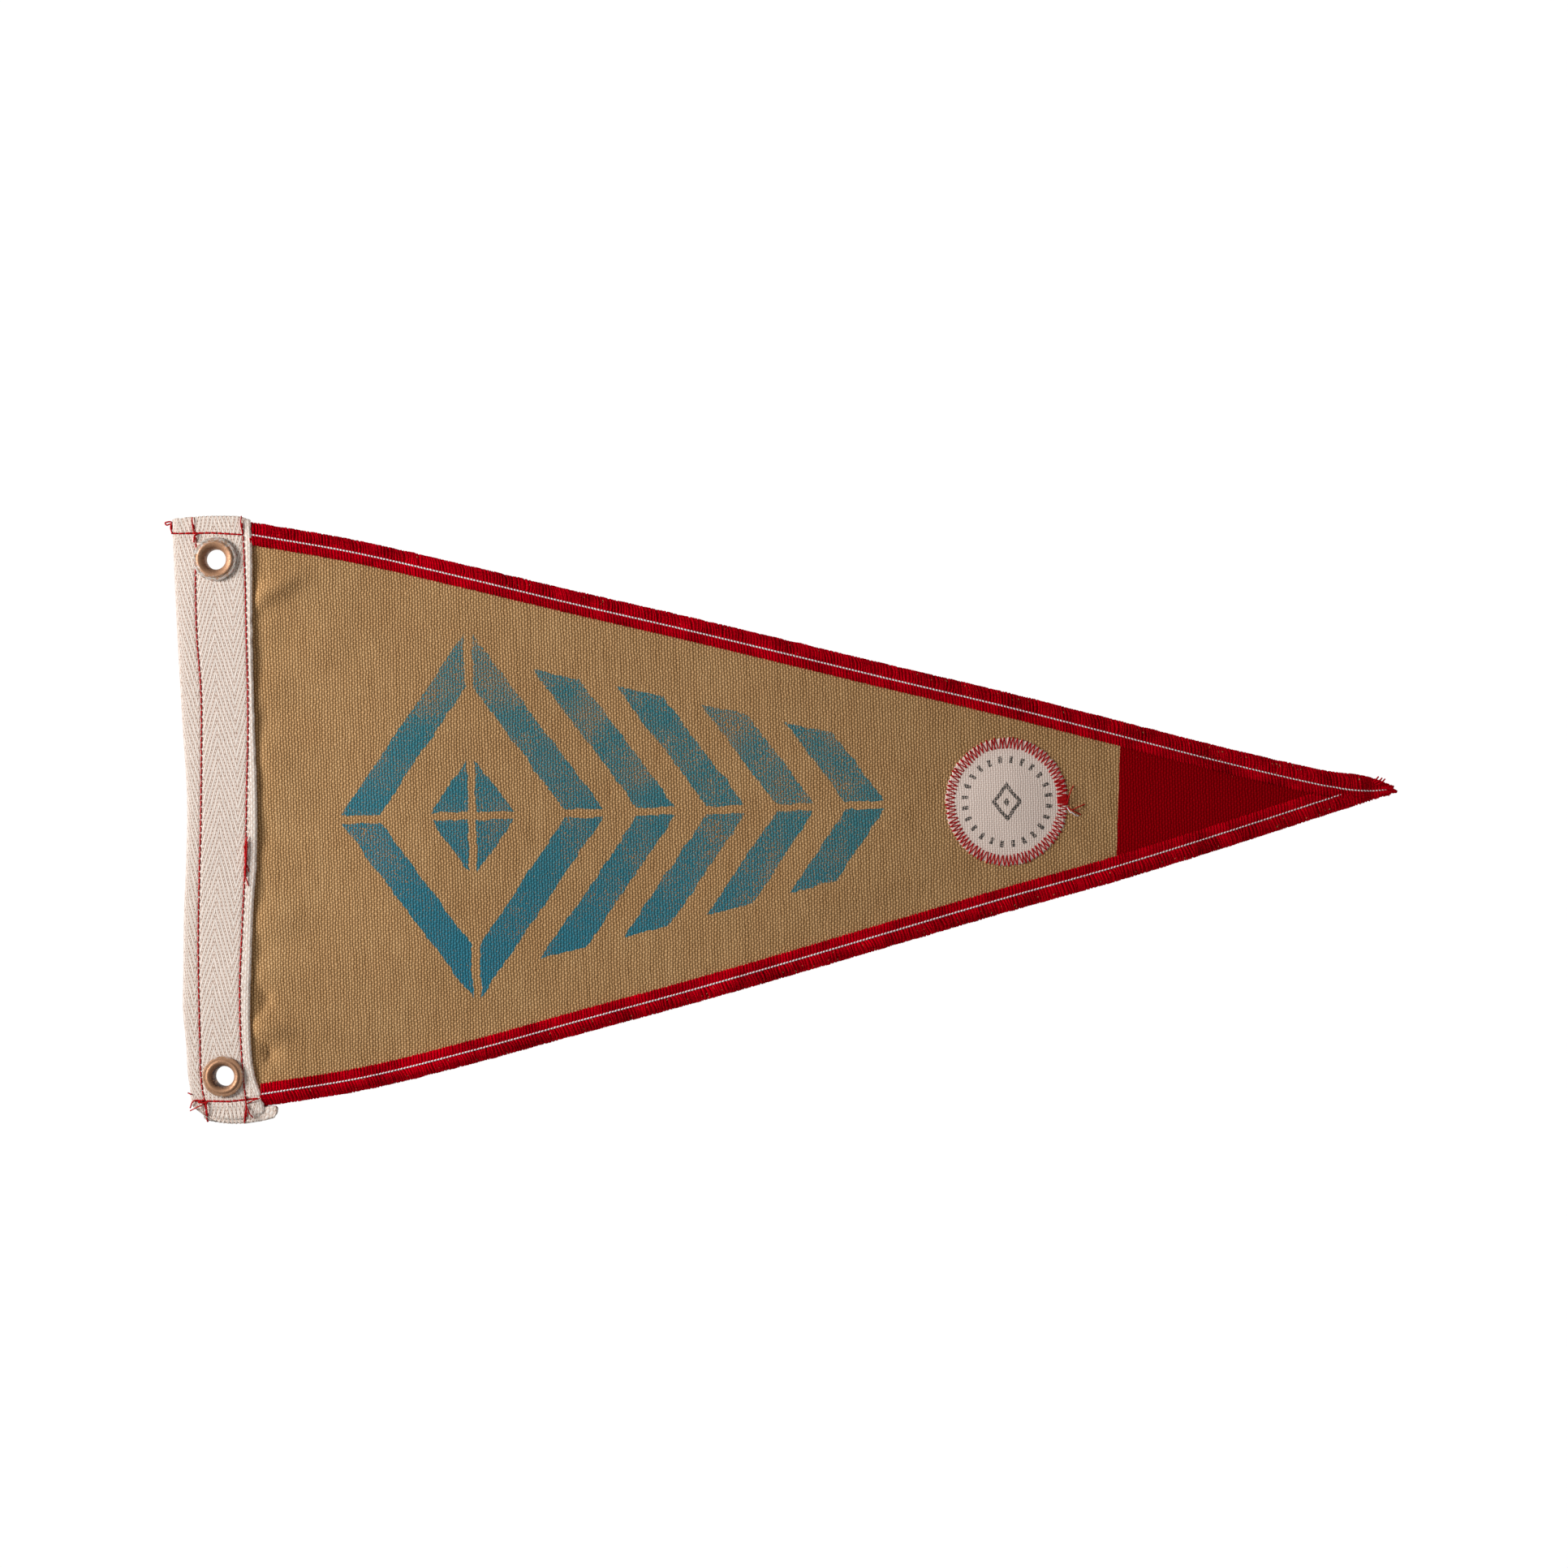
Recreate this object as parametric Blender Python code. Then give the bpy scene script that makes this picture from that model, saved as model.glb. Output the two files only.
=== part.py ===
"""Canvas pennant flag: a one-piece duck canvas panel, overlocked along both long edges,
with a folded tape header, two set grommets and a round sewn-on patch.

It lies face up on the surface. +X runs along the fly to the tip, +Y runs up the hoist,
+Z is up. The origin is under the middle of the flag. Lengths below are in millimetres.
"""

import math
from collections import namedtuple

import bmesh
import bpy
from mathutils import Vector

MM = 0.001
GAP = 0.3

# Cloth and thread thicknesses
CANVAS = 1.0
TAPE = 0.9
OVERLOCK = 0.7
PATCH = 0.8

# Heights of the canvas's middle surface above the resting plane
BODY_LEVEL = CANVAS / 2 + GAP + OVERLOCK
HEADER_LEVEL = CANVAS / 2 + GAP + TAPE
GROMMET_LEVEL = HEADER_LEVEL + 1.3

# Silhouette of the overlocked edges, from the header to the tip
EdgeRow = namedtuple("EdgeRow", "x upper lower")
EDGES = [
    EdgeRow(-198.0, 110.9, -107.2),
    EdgeRow(-160.0, 103.4, -102.1),
    EdgeRow(-120.0, 93.3, -93.4),
    EdgeRow(-80.0, 82.7, -83.5),
    EdgeRow(-40.0, 72.5, -73.8),
    EdgeRow(0.0, 61.9, -63.5),
    EdgeRow(40.0, 51.2, -52.9),
    EdgeRow(80.0, 40.7, -42.3),
    EdgeRow(120.0, 29.5, -32.2),
    EdgeRow(160.0, 18.2, -21.0),
    EdgeRow(200.0, 7.9, -9.2),
    EdgeRow(216.0, 5.2, -4.5),
    EdgeRow(227.8, 0.5, -1.1),
]

# Sides of the folded tape, from its top end to its bottom end
HeaderRow = namedtuple("HeaderRow", "y fold front_edge back_edge")
HEADER = [
    HeaderRow(113.4, -227.0, -198.4, -199.4),
    HeaderRow(104.0, -226.9, -198.0, -199.0),
    HeaderRow(68.0, -226.2, -198.1, -199.0),
    HeaderRow(38.0, -225.4, -198.3, -199.0),
    HeaderRow(8.0, -224.4, -198.1, -199.0),
    HeaderRow(-16.0, -225.4, -198.9, -199.0),
    HeaderRow(-34.0, -226.6, -200.6, -199.4),
    HeaderRow(-60.0, -227.5, -202.1, -199.8),
    HeaderRow(-70.0, -227.8, -202.6, -199.8),
    HeaderRow(-84.0, -226.9, -202.6, -199.4),
    HeaderRow(-94.0, -226.6, -201.8, -199.0),
    HeaderRow(-100.0, -225.9, -200.2, -199.0),
    HeaderRow(-106.0, -225.5, -198.6, -198.6),
    HeaderRow(-107.9, -224.6, -198.3, -197.8),
    HeaderRow(-108.9, -223.4, -198.3, -193.8),
    HeaderRow(-111.6, -220.0, -198.5, -193.4),
    HeaderRow(-113.4, -216.5, -199.0, -194.4),
]
HEADER_ENDS_BOW = 0.9
HEADER_STEP = 8.0

# How far the turned-in tape ends reach, and where the tape opens for the canvas
TOP_HEM = (104.8, 107.4)
BOTTOM_HEM = (-103.8, -106.4)
HEM_LEAF = 2 * TAPE - 0.05
HEM_SLOT = GAP / 2

# Canvas panel
HOIST_X = -219.5
HOIST_TOP = 104.3
HOIST_BOTTOM = -103.3
HEADER_EDGE_X = -197.4
CORNER_X = -193.5
CANVAS_TIP_X = 210.6
CANVAS_INSET = 1.6
CANVAS_COLUMNS = 32
CANVAS_ROWS = 20

# Overlocked edges
SLANT = 1.035
EDGE_REACH = 8.2
EDGE_WALL = 1.25
EDGE_WIDTH = EDGE_REACH * SLANT
EDGE_START_X = -197.2
LOWER_EDGE_END_X = 209.6
TIP_CLOSING = (205.0, 213.0)
SLOT_CLOSING = (213.0, 218.0)
EDGE_STEP = 12.0
OVERLOCK_FRONT = [(EDGE_REACH, 0.52), (6.3, 0.78), (4.7, 0.6), (3.0, 0.86), (1.2, 0.62)]

# Low folds in the canvas: line ends, rise and half-width
Fold = namedtuple("Fold", "x0 y0 x1 y1 rise half_width")
FOLDS = [
    Fold(-196.0, 80.0, -166.0, 92.0, 1.1, 5.0),
    Fold(-196.0, 66.0, -170.0, 72.0, -0.5, 6.0),
    Fold(-197.0, -82.0, -172.0, -92.0, 0.9, 5.0),
    Fold(-197.0, 20.0, -176.0, 14.0, 0.5, 6.0),
    Fold(-199.0, -40.0, -178.0, -36.0, 0.5, 7.0),
    Fold(-62.0, 36.0, 14.0, 33.0, 0.35, 7.0),
    Fold(-30.0, -28.0, 64.0, -44.0, 0.4, 9.0),
]
PUCKER_PITCH = 21.0
PUCKER_RISE = 0.35
PUCKER_REACH = 16.0
SWELL = 0.8
SWELL_LENGTH = 190.0

# Grommets
Grommet = namedtuple("Grommet", "name x y flange_radius washer_radius")
GROMMETS = [
    Grommet("upper", -211.2, 97.2, 8.2, 7.6),
    Grommet("lower", -213.3, -95.6, 7.6, 8.2),
]
BORE_RADIUS = 3.75
BARREL_RADIUS = 4.1
CROWN_OUTER = 1.2
CROWN_INNER = 1.9
CLOTH_HOLE_RADIUS = 5.5
WASHER_BORE_RADIUS = BARREL_RADIUS + GAP
FLANGE_RISE = 1.3
SPIN_STEPS = 24

# Patch
PATCH_X = 81.5
PATCH_Y = -0.9
PATCH_RADIUS_X = 22.8
PATCH_RADIUS_Y = 23.8
PATCH_SPOKES = 40
PATCH_RINGS = 3


def smoothstep(value):
    t = min(max(value, 0.0), 1.0)
    return t * t * (3 - 2 * t)


def curve_through(keys, values):
    """A smooth curve through the points, with its slopes taken from their neighbours."""
    last = len(keys) - 1

    def slope(i):
        a, b = max(i - 1, 0), min(i + 1, last)
        return (values[b] - values[a]) / (keys[b] - keys[a])

    def at(key):
        i = 0
        while i < last - 1 and key > keys[i + 1]:
            i += 1
        span = keys[i + 1] - keys[i]
        t = (key - keys[i]) / span
        start = values[i] * (1 - t) ** 2 * (1 + 2 * t) + values[i + 1] * t * t * (3 - 2 * t)
        bend = slope(i) * t * (1 - t) ** 2 - slope(i + 1) * t * t * (1 - t)
        return start + bend * span

    return at


EDGE_X = [row.x for row in EDGES]
upper_edge = curve_through(EDGE_X, [row.upper for row in EDGES])
lower_edge = curve_through(EDGE_X, [row.lower for row in EDGES])
HEADER_UP = HEADER[::-1]
HEADER_Y = [row.y for row in HEADER_UP]
fold_x = curve_through(HEADER_Y, [row.fold for row in HEADER_UP])
front_x = curve_through(HEADER_Y, [row.front_edge for row in HEADER_UP])
back_x = curve_through(HEADER_Y, [row.back_edge for row in HEADER_UP])


def header_level(y):
    """Height of the header's middle: held up on the grommets, lying flat between them."""
    return HEADER_LEVEL + (GROMMET_LEVEL - HEADER_LEVEL) * smoothstep((abs(y) - 28.0) / 50.0)


def fold_height(x, y):
    """Sum of the low folds, each a soft ridge or trough along its own line."""
    height = 0.0
    for fold in FOLDS:
        along = Vector((fold.x1 - fold.x0, fold.y1 - fold.y0))
        point = Vector((x - fold.x0, y - fold.y0))
        t = point.dot(along) / along.length_squared
        nearest = along * min(max(t, 0.0), 1.0)
        distance = (point - nearest).length
        fade = smoothstep(1.6 - 1.6 * t) if t > 0.4 else 1.0
        height += fold.rise * fade * math.exp(-((distance / fold.half_width) ** 2))
    return height


def canvas_height(x, y):
    """Middle surface of the canvas above the resting plane."""
    out = smoothstep((x - HEADER_EDGE_X) / 55.0)
    level = header_level(y) * (1 - out) + BODY_LEVEL * out
    if x <= HEADER_EDGE_X:
        return level
    inner_top = upper_edge(x) - EDGE_WIDTH
    inner_bottom = lower_edge(x) + EDGE_WIDTH
    clear = min(inner_top - y, y - inner_bottom)
    free = smoothstep(clear / 14.0) * smoothstep((x - HEADER_EDGE_X) / 4.0)
    pucker = PUCKER_RISE * math.sin(2 * math.pi * y / PUCKER_PITCH)
    pucker *= math.exp(-(x - HEADER_EDGE_X) / PUCKER_REACH)
    swell = SWELL * math.sin(2 * math.pi * x / SWELL_LENGTH) * smoothstep(clear / 40.0)
    return level + free * (fold_height(x, y) + pucker + swell * out)


def make_material(name, colour, roughness, metallic=0.0):
    material = bpy.data.materials.new(name)
    material.use_nodes = True
    shader = material.node_tree.nodes["Principled BSDF"]
    shader.inputs["Base Color"].default_value = (*colour, 1.0)
    shader.inputs["Roughness"].default_value = roughness
    shader.inputs["Metallic"].default_value = metallic
    return material


def add_object(name, shape, material):
    """Turns a finished bmesh, in millimetres, into a named object in metres."""
    bmesh.ops.recalc_face_normals(shape, faces=shape.faces)
    bmesh.ops.scale(shape, vec=(MM, MM, MM), verts=shape.verts)
    mesh = bpy.data.meshes.new(name)
    shape.to_mesh(mesh)
    shape.free()
    mesh.materials.append(material)
    item = bpy.data.objects.new(name, mesh)
    bpy.context.scene.collection.objects.link(item)
    return item


def loft(rings):
    """One closed solid through a row of rings that have the same number of points."""
    shape = bmesh.new()
    loops = [[shape.verts.new(point) for point in ring] for ring in rings]
    count = len(rings[0])
    for near, far in zip(loops, loops[1:]):
        for i in range(count):
            j = (i + 1) % count
            shape.faces.new((near[i], near[j], far[j], far[i]))
    shape.faces.new(loops[0])
    shape.faces.new(loops[-1])
    return shape


def turned(profile, steps):
    """A solid ring spun about Z from a closed outline of (radius, height) points."""
    shape = bmesh.new()
    verts = [shape.verts.new((radius, 0.0, height)) for radius, height in profile]
    edges = [shape.edges.new((a, b)) for a, b in zip(verts, verts[1:] + verts[:1])]
    bmesh.ops.spin(
        shape,
        geom=verts + edges,
        cent=(0, 0, 0),
        axis=(0, 0, 1),
        angle=2 * math.pi,
        steps=steps,
        use_merge=True,
    )
    bmesh.ops.remove_doubles(shape, verts=shape.verts, dist=1e-4)
    return shape


def stations(start, end, step, extra=()):
    """Evenly spaced places from start to end, with some extra ones added."""
    count = max(1, round(abs(end - start) / step))
    places = {round(start + (end - start) * i / count, 4) for i in range(count + 1)}
    kept = [p for p in places if all(abs(p - e) > 0.35 * step for e in extra)]
    ends = [start, end]
    return sorted({*kept, *extra, *ends})


def thicken(item, thickness, side=0.0):
    solid = item.modifiers.new("thickness", "SOLIDIFY")
    solid.thickness = thickness * MM
    solid.offset = side


def pierce(item):
    """Cuts the grommets' clearance holes through a cloth piece."""
    for cutter in bpy.data.collections["cutters"].objects:
        cut = item.modifiers.new("hole", "BOOLEAN")
        cut.operation = "DIFFERENCE"
        cut.solver = "EXACT"
        cut.object = cutter


def make_cutters():
    """Plain round cutters for the cloth, one at each grommet."""
    group = bpy.data.collections.new("cutters")
    bpy.context.scene.collection.children.link(group)
    for grommet in GROMMETS:
        shape = bmesh.new()
        bmesh.ops.create_cone(
            shape,
            cap_ends=True,
            segments=SPIN_STEPS,
            radius1=CLOTH_HOLE_RADIUS * MM,
            radius2=CLOTH_HOLE_RADIUS * MM,
            depth=20 * MM,
        )
        mesh = bpy.data.meshes.new("cutter_" + grommet.name)
        shape.to_mesh(mesh)
        shape.free()
        cutter = bpy.data.objects.new("cutter_" + grommet.name, mesh)
        cutter.location = (grommet.x * MM, grommet.y * MM, GROMMET_LEVEL * MM)
        cutter.hide_render = True
        cutter.display_type = "WIRE"
        group.objects.link(cutter)


def canvas_side(x, edge, inset, hoist_limit):
    """Canvas edge at x: clipped inside the header, then running inside the overlock."""
    free = edge(x) + inset
    held = hoist_limit
    t = smoothstep((x - HEADER_EDGE_X) / (CORNER_X - HEADER_EDGE_X))
    return held + (free - held) * t


def make_canvas(material):
    """The panel: one piece of canvas from the hoist edge to the tip."""
    extra = [HOIST_X, -206.0, HEADER_EDGE_X - 1.5, HEADER_EDGE_X, CORNER_X, -189.0]
    step = (CANVAS_TIP_X - HOIST_X) / CANVAS_COLUMNS
    columns = stations(HOIST_X, CANVAS_TIP_X, step, extra)
    shape = bmesh.new()
    inset = CANVAS_INSET * SLANT
    grid = []
    for x in columns:
        top = canvas_side(max(x, EDGES[0].x), upper_edge, -inset, HOIST_TOP)
        bottom = canvas_side(max(x, EDGES[0].x), lower_edge, inset, HOIST_BOTTOM)
        column = []
        for j in range(CANVAS_ROWS + 1):
            y = bottom + (top - bottom) * j / CANVAS_ROWS
            column.append(shape.verts.new((x, y, canvas_height(x, y))))
        grid.append(column)
    for near, far in zip(grid, grid[1:]):
        for j in range(CANVAS_ROWS):
            shape.faces.new((near[j], far[j], far[j + 1], near[j + 1]))
    panel = add_object("canvas_panel", shape, material)
    thicken(panel, CANVAS)
    pierce(panel)


def overlock_ring(x, outer, inward, width, closed):
    """Section of an overlocked edge: thread over the canvas, round its edge and under it."""
    half = CANVAS / 2 + GAP + (HEM_SLOT - CANVAS / 2 - GAP) * closed
    level = canvas_height(x, outer + inward * width) - BODY_LEVEL + OVERLOCK + half
    points = [(EDGE_REACH, half)]
    points += [(n, half + rise) for n, rise in OVERLOCK_FRONT]
    points += [(0.3, half * 0.8), (0.0, -0.1), (0.3, -half * 0.8)]
    points += [(1.1, -half - OVERLOCK), (EDGE_REACH, -half - OVERLOCK), (EDGE_REACH, -half)]
    points += [(EDGE_WALL, -half), (EDGE_WALL, half)]
    spare = width - EDGE_WIDTH
    ring = []
    for n, z in points:
        share = max(0.0, n - EDGE_WALL) / (EDGE_REACH - EDGE_WALL)
        ring.append((x, outer + inward * (n * SLANT + spare * share), level + z))
    return ring


def upper_width(x):
    """Width of the upper edge, which runs on over the lower one and closes the tip."""
    local = upper_edge(x) - lower_edge(x)
    start, end = TIP_CLOSING
    return EDGE_WIDTH + (local - EDGE_WIDTH) * smoothstep((x - start) / (end - start))


def make_upper_edge(material):
    rings = []
    extra = [-186.0, 205.0, 209.0, 213.0, 218.0, 223.0, 226.0]
    start, end = SLOT_CLOSING
    for x in stations(EDGE_START_X, EDGES[-1].x, EDGE_STEP, extra):
        closed = smoothstep((x - start) / (end - start))
        rings.append(overlock_ring(x, upper_edge(x), -1, upper_width(x), closed))
    add_object("overlock_edge_upper", loft(rings), material)


def make_lower_edge(material):
    rings = []
    for x in stations(EDGE_START_X, LOWER_EDGE_END_X, EDGE_STEP, [-186.0, 203.0, 206.0]):
        room = upper_edge(x) - lower_edge(x) - upper_width(x) - GAP
        width = min(EDGE_WIDTH, room)
        rings.append(overlock_ring(x, lower_edge(x), 1, width, 0.0))
    add_object("overlock_edge_lower", loft(rings), material)


def header_ring(y):
    """Section of the folded tape, open to the fly side and thicker where its end turns in."""
    start, end = TOP_HEM if y > 0 else BOTTOM_HEM
    hem = smoothstep((y - start) / (end - start))
    half = CANVAS / 2 + GAP + (HEM_SLOT - CANVAS / 2 - GAP) * hem
    leaf = TAPE + (HEM_LEAF - TAPE) * hem
    end_y = HEADER[0].y if y > 0 else HEADER[-1].y
    rounding = 1.0 - smoothstep(abs(end_y - y) / 0.9)
    half += 0.4 * rounding
    leaf -= 0.8 * rounding
    level = header_level(y)
    left, front, back = fold_x(y), front_x(y), back_x(y)
    centre, reach = (left + front) / 2, (front - left) / 2
    top, bottom = level + half + leaf, level - half - leaf
    bulge = 0.55 * (half + leaf)
    points = [
        (front, level + half),
        (front, top - 0.3),
        (front - 0.4, top),
        (centre, top),
        (left + 1.3, top),
        (left + 0.25, level + bulge),
        (left, level),
        (left + 0.25, level - bulge),
        (left + 1.3, bottom),
        (centre, bottom),
        (back - 0.4, bottom),
        (back, bottom + 0.3),
        (back, level - half),
        (left + 1.8, level - half),
        (left + 1.8, level + half),
    ]
    bow = HEADER_ENDS_BOW * smoothstep((abs(y) - 96.0) / 14.0) * (1 if y > 0 else -1)
    return [(x, y - bow * ((x - centre) / reach) ** 2, z) for x, z in points]


def make_header(material):
    extra = [-112.9, -111.6, -108.9, -107.9, -106.4, -103.8, -100.0]
    extra += [104.8, 106.1, 107.4, 111.0, 112.9]
    places = stations(HEADER[-1].y, HEADER[0].y, HEADER_STEP, extra)
    tape = add_object("header_tape", loft([header_ring(y) for y in places]), material)
    pierce(tape)


def eyelet_profile(flange_radius):
    """A throat that flares up to a domed flange, and a barrel whose end is rolled out below."""
    cloth = GROMMET_LEVEL + HEADER_LEVEL + GAP
    top = cloth + FLANGE_RISE
    crown = flange_radius - CROWN_INNER
    flare = crown - BORE_RADIUS
    return [
        (BORE_RADIUS, 0.35),
        (BORE_RADIUS, top - 3.6),
        (BORE_RADIUS + 0.08 * flare, top - 2.6),
        (BORE_RADIUS + 0.25 * flare, top - 1.7),
        (BORE_RADIUS + 0.5 * flare, top - 0.9),
        (BORE_RADIUS + 0.78 * flare, top - 0.25),
        (crown, top),
        (flange_radius - CROWN_OUTER, top),
        (flange_radius - 0.45, top - 0.35),
        (flange_radius, top - 0.95),
        (flange_radius - 0.05, cloth),
        (CLOTH_HOLE_RADIUS - GAP, cloth),
        (BARREL_RADIUS + 0.75, cloth - 0.6),
        (BARREL_RADIUS + 0.3, cloth - 1.6),
        (BARREL_RADIUS, cloth - 2.8),
        (BARREL_RADIUS, 0.5),
        (BARREL_RADIUS + 0.3, 0.32),
        (BARREL_RADIUS + 0.9, 0.25),
        (BARREL_RADIUS + 1.0, 0.08),
        (BARREL_RADIUS + 0.6, 0.0),
        (BARREL_RADIUS, 0.0),
        (BORE_RADIUS + 0.1, 0.1),
    ]


def washer_profile(washer_radius):
    """Domed ring under the back cloth, hollowed at its middle for the rolled barrel end."""
    cloth = GROMMET_LEVEL - HEADER_LEVEL - GAP
    return [
        (WASHER_BORE_RADIUS, cloth),
        (WASHER_BORE_RADIUS, 0.68),
        (BARREL_RADIUS + 1.4, 0.58),
        (BARREL_RADIUS + 1.9, 0.0),
        (washer_radius - 0.7, 0.0),
        (washer_radius - 0.1, 0.4),
        (washer_radius, cloth),
    ]


def make_grommets(metal):
    for grommet in GROMMETS:
        pieces = {
            "grommet_" + grommet.name: eyelet_profile(grommet.flange_radius),
            "washer_" + grommet.name: washer_profile(grommet.washer_radius),
        }
        for name, profile in pieces.items():
            item = add_object(name, turned(profile, SPIN_STEPS), metal)
            item.location = (grommet.x * MM, grommet.y * MM, 0.0)
            item.data.shade_smooth()
            item.data.set_sharp_from_angle(angle=math.radians(40))


def make_patch(material):
    """Round patch lying on the canvas, following its surface."""
    shape = bmesh.new()
    rise = CANVAS / 2 + GAP

    def vertex(share, angle):
        x = PATCH_X + PATCH_RADIUS_X * share * math.cos(angle)
        y = PATCH_Y + PATCH_RADIUS_Y * share * math.sin(angle)
        return shape.verts.new((x, y, canvas_height(x, y) + rise))

    middle = vertex(0.0, 0.0)
    rings = [
        [
            vertex(ring / PATCH_RINGS, 2 * math.pi * spoke / PATCH_SPOKES)
            for spoke in range(PATCH_SPOKES)
        ]
        for ring in range(1, PATCH_RINGS + 1)
    ]
    for i in range(PATCH_SPOKES):
        j = (i + 1) % PATCH_SPOKES
        shape.faces.new((middle, rings[0][i], rings[0][j]))
        for inner, outer in zip(rings, rings[1:]):
            shape.faces.new((inner[i], outer[i], outer[j], inner[j]))
    patch = add_object("patch", shape, material)
    thicken(patch, PATCH, side=1.0)


def main():
    for item in list(bpy.data.objects):
        bpy.data.objects.remove(item)
    canvas = make_material("khaki duck canvas", (0.36, 0.21, 0.09), 0.9)
    tape = make_material("natural cotton tape", (0.74, 0.62, 0.54), 0.9)
    thread = make_material("red overlock thread", (0.35, 0.003, 0.01), 0.75)
    metal = make_material("copper-toned brass", (0.48, 0.27, 0.16), 0.4, 1.0)
    cotton = make_material("white cotton patch", (0.68, 0.6, 0.55), 0.9)
    make_cutters()
    make_canvas(canvas)
    make_upper_edge(thread)
    make_lower_edge(thread)
    make_header(tape)
    make_grommets(metal)
    make_patch(cotton)


main()
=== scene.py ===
# %% [markdown]
# # A canvas pennant flag
#
# A pennant is a long triangle of cloth on a header. This one is heavy cotton duck, with its
# two long raw edges overlocked in red thread, a folded herringbone tape sewn over the hoist,
# a grommet at each end of that tape, and a round cotton patch zigzagged on near the tip.
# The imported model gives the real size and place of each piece. Here each cloth piece gets
# its fine shape, its sewing and its finish, and none of them leaves its place.

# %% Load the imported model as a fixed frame
import math
import random
from collections import namedtuple
from functools import partial

import bpy
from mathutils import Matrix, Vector, noise


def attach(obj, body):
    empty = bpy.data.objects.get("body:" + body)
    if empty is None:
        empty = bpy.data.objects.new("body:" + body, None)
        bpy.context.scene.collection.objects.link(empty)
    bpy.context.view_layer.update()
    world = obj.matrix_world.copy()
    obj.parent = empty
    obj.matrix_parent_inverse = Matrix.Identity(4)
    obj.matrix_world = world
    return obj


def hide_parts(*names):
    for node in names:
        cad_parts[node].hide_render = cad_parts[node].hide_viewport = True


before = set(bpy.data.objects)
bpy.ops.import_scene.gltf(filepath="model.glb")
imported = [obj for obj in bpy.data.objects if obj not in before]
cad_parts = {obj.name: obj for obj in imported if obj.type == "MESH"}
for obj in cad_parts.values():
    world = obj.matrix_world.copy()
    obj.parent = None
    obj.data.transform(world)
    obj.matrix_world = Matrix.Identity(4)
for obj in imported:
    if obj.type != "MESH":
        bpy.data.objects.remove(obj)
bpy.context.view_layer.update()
MM = 0.001
scene = bpy.context.scene
print("nodes:", sorted(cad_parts))

# %% [markdown]
# ## Small helpers
#
# Operators act on whatever is selected, so each step selects its own piece first. A smooth
# curve through a few measured points stands for each edge of the cloth: a maker would draw
# the same line through the same few pins.


# %% Selecting, applying and smoothing
def only(piece):
    """Leaves this piece alone selected and active."""
    bpy.ops.object.select_all(action="DESELECT")
    piece.select_set(True)
    bpy.context.view_layer.objects.active = piece
    return piece


def apply_modifier(piece, kind, **settings):
    """Adds one modifier, sets it and applies it to the mesh."""
    only(piece)
    modifier = piece.modifiers.new(kind.lower(), kind)
    for name, value in settings.items():
        setattr(modifier, name, value)
    bpy.ops.object.modifier_apply(modifier=modifier.name)


def weld(threshold, fill=False):
    """Joins touching points of the active piece, fills its ends if asked, and sets its outside."""
    bpy.ops.object.mode_set(mode="EDIT")
    bpy.ops.mesh.select_all(action="SELECT")
    bpy.ops.mesh.remove_doubles(threshold=threshold)
    if fill:
        bpy.ops.mesh.fill_holes(sides=0)
    bpy.ops.mesh.normals_make_consistent(inside=False)
    bpy.ops.object.mode_set(mode="OBJECT")


def smoothstep(value):
    t = min(max(value, 0.0), 1.0)
    return t * t * (3 - 2 * t)


def curve_through(keys, values):
    """A smooth curve through the points, with its slopes taken from their neighbours."""
    last = len(keys) - 1

    def slope(i):
        a, b = max(i - 1, 0), min(i + 1, last)
        return (values[b] - values[a]) / (keys[b] - keys[a])

    def at(key):
        i = 0
        while i < last - 1 and key > keys[i + 1]:
            i += 1
        span = keys[i + 1] - keys[i]
        t = (key - keys[i]) / span
        start = values[i] * (1 - t) ** 2 * (1 + 2 * t) + values[i + 1] * t * t * (3 - 2 * t)
        bend = slope(i) * t * (1 - t) ** 2 - slope(i + 1) * t * t * (1 - t)
        return start + bend * span

    return at


def drift(x, y, size, seed=0.0):
    """Smooth random drift from -1 to 1 that changes over about size millimetres."""
    return noise.noise(Vector((x / size, y / size, seed)))


# %% [markdown]
# ## The flag's measures
#
# Lengths are in millimetres, with +X along the fly to the tip and +Y up the hoist. The flag
# was pulled a little out of true as it was sewn, so its edges and its header aren't straight.

# %% Outline of the overlocked edges, and the sides of the folded tape
EdgeRow = namedtuple("EdgeRow", "x upper lower")
EDGES = [EdgeRow(*row) for row in (
    (-198.0, 110.9, -107.2), (-160.0, 103.4, -102.1), (-120.0, 93.3, -93.4), (-80.0, 82.7, -83.5),
    (-40.0, 72.5, -73.8), (0.0, 61.9, -63.5), (40.0, 51.2, -52.9), (80.0, 40.7, -42.3),
    (120.0, 29.5, -32.2), (160.0, 18.2, -21.0), (200.0, 7.9, -9.2),
    (216.0, 5.2, -4.5), (227.8, 0.5, -1.1),
)]
HeaderRow = namedtuple("HeaderRow", "y fold front_edge back_edge")
HEADER = [HeaderRow(*row) for row in (
    (-113.4, -216.5, -199.0, -194.4), (-111.6, -220.0, -198.5, -193.4), (-108.9, -223.4, -198.3, -193.8),
    (-107.9, -224.6, -198.3, -197.8), (-106.0, -225.5, -198.6, -198.6), (-100.0, -225.9, -200.2, -199.0),
    (-94.0, -226.6, -201.8, -199.0), (-84.0, -226.9, -202.6, -199.4), (-70.0, -227.8, -202.6, -199.8),
    (-60.0, -227.5, -202.1, -199.8), (-34.0, -226.6, -200.6, -199.4), (-16.0, -225.4, -198.9, -199.0),
    (8.0, -224.4, -198.1, -199.0), (38.0, -225.4, -198.3, -199.0), (68.0, -226.2, -198.1, -199.0),
    (104.0, -226.9, -197.3, -199.0), (113.4, -227.0, -197.7, -199.4),
)]


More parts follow.
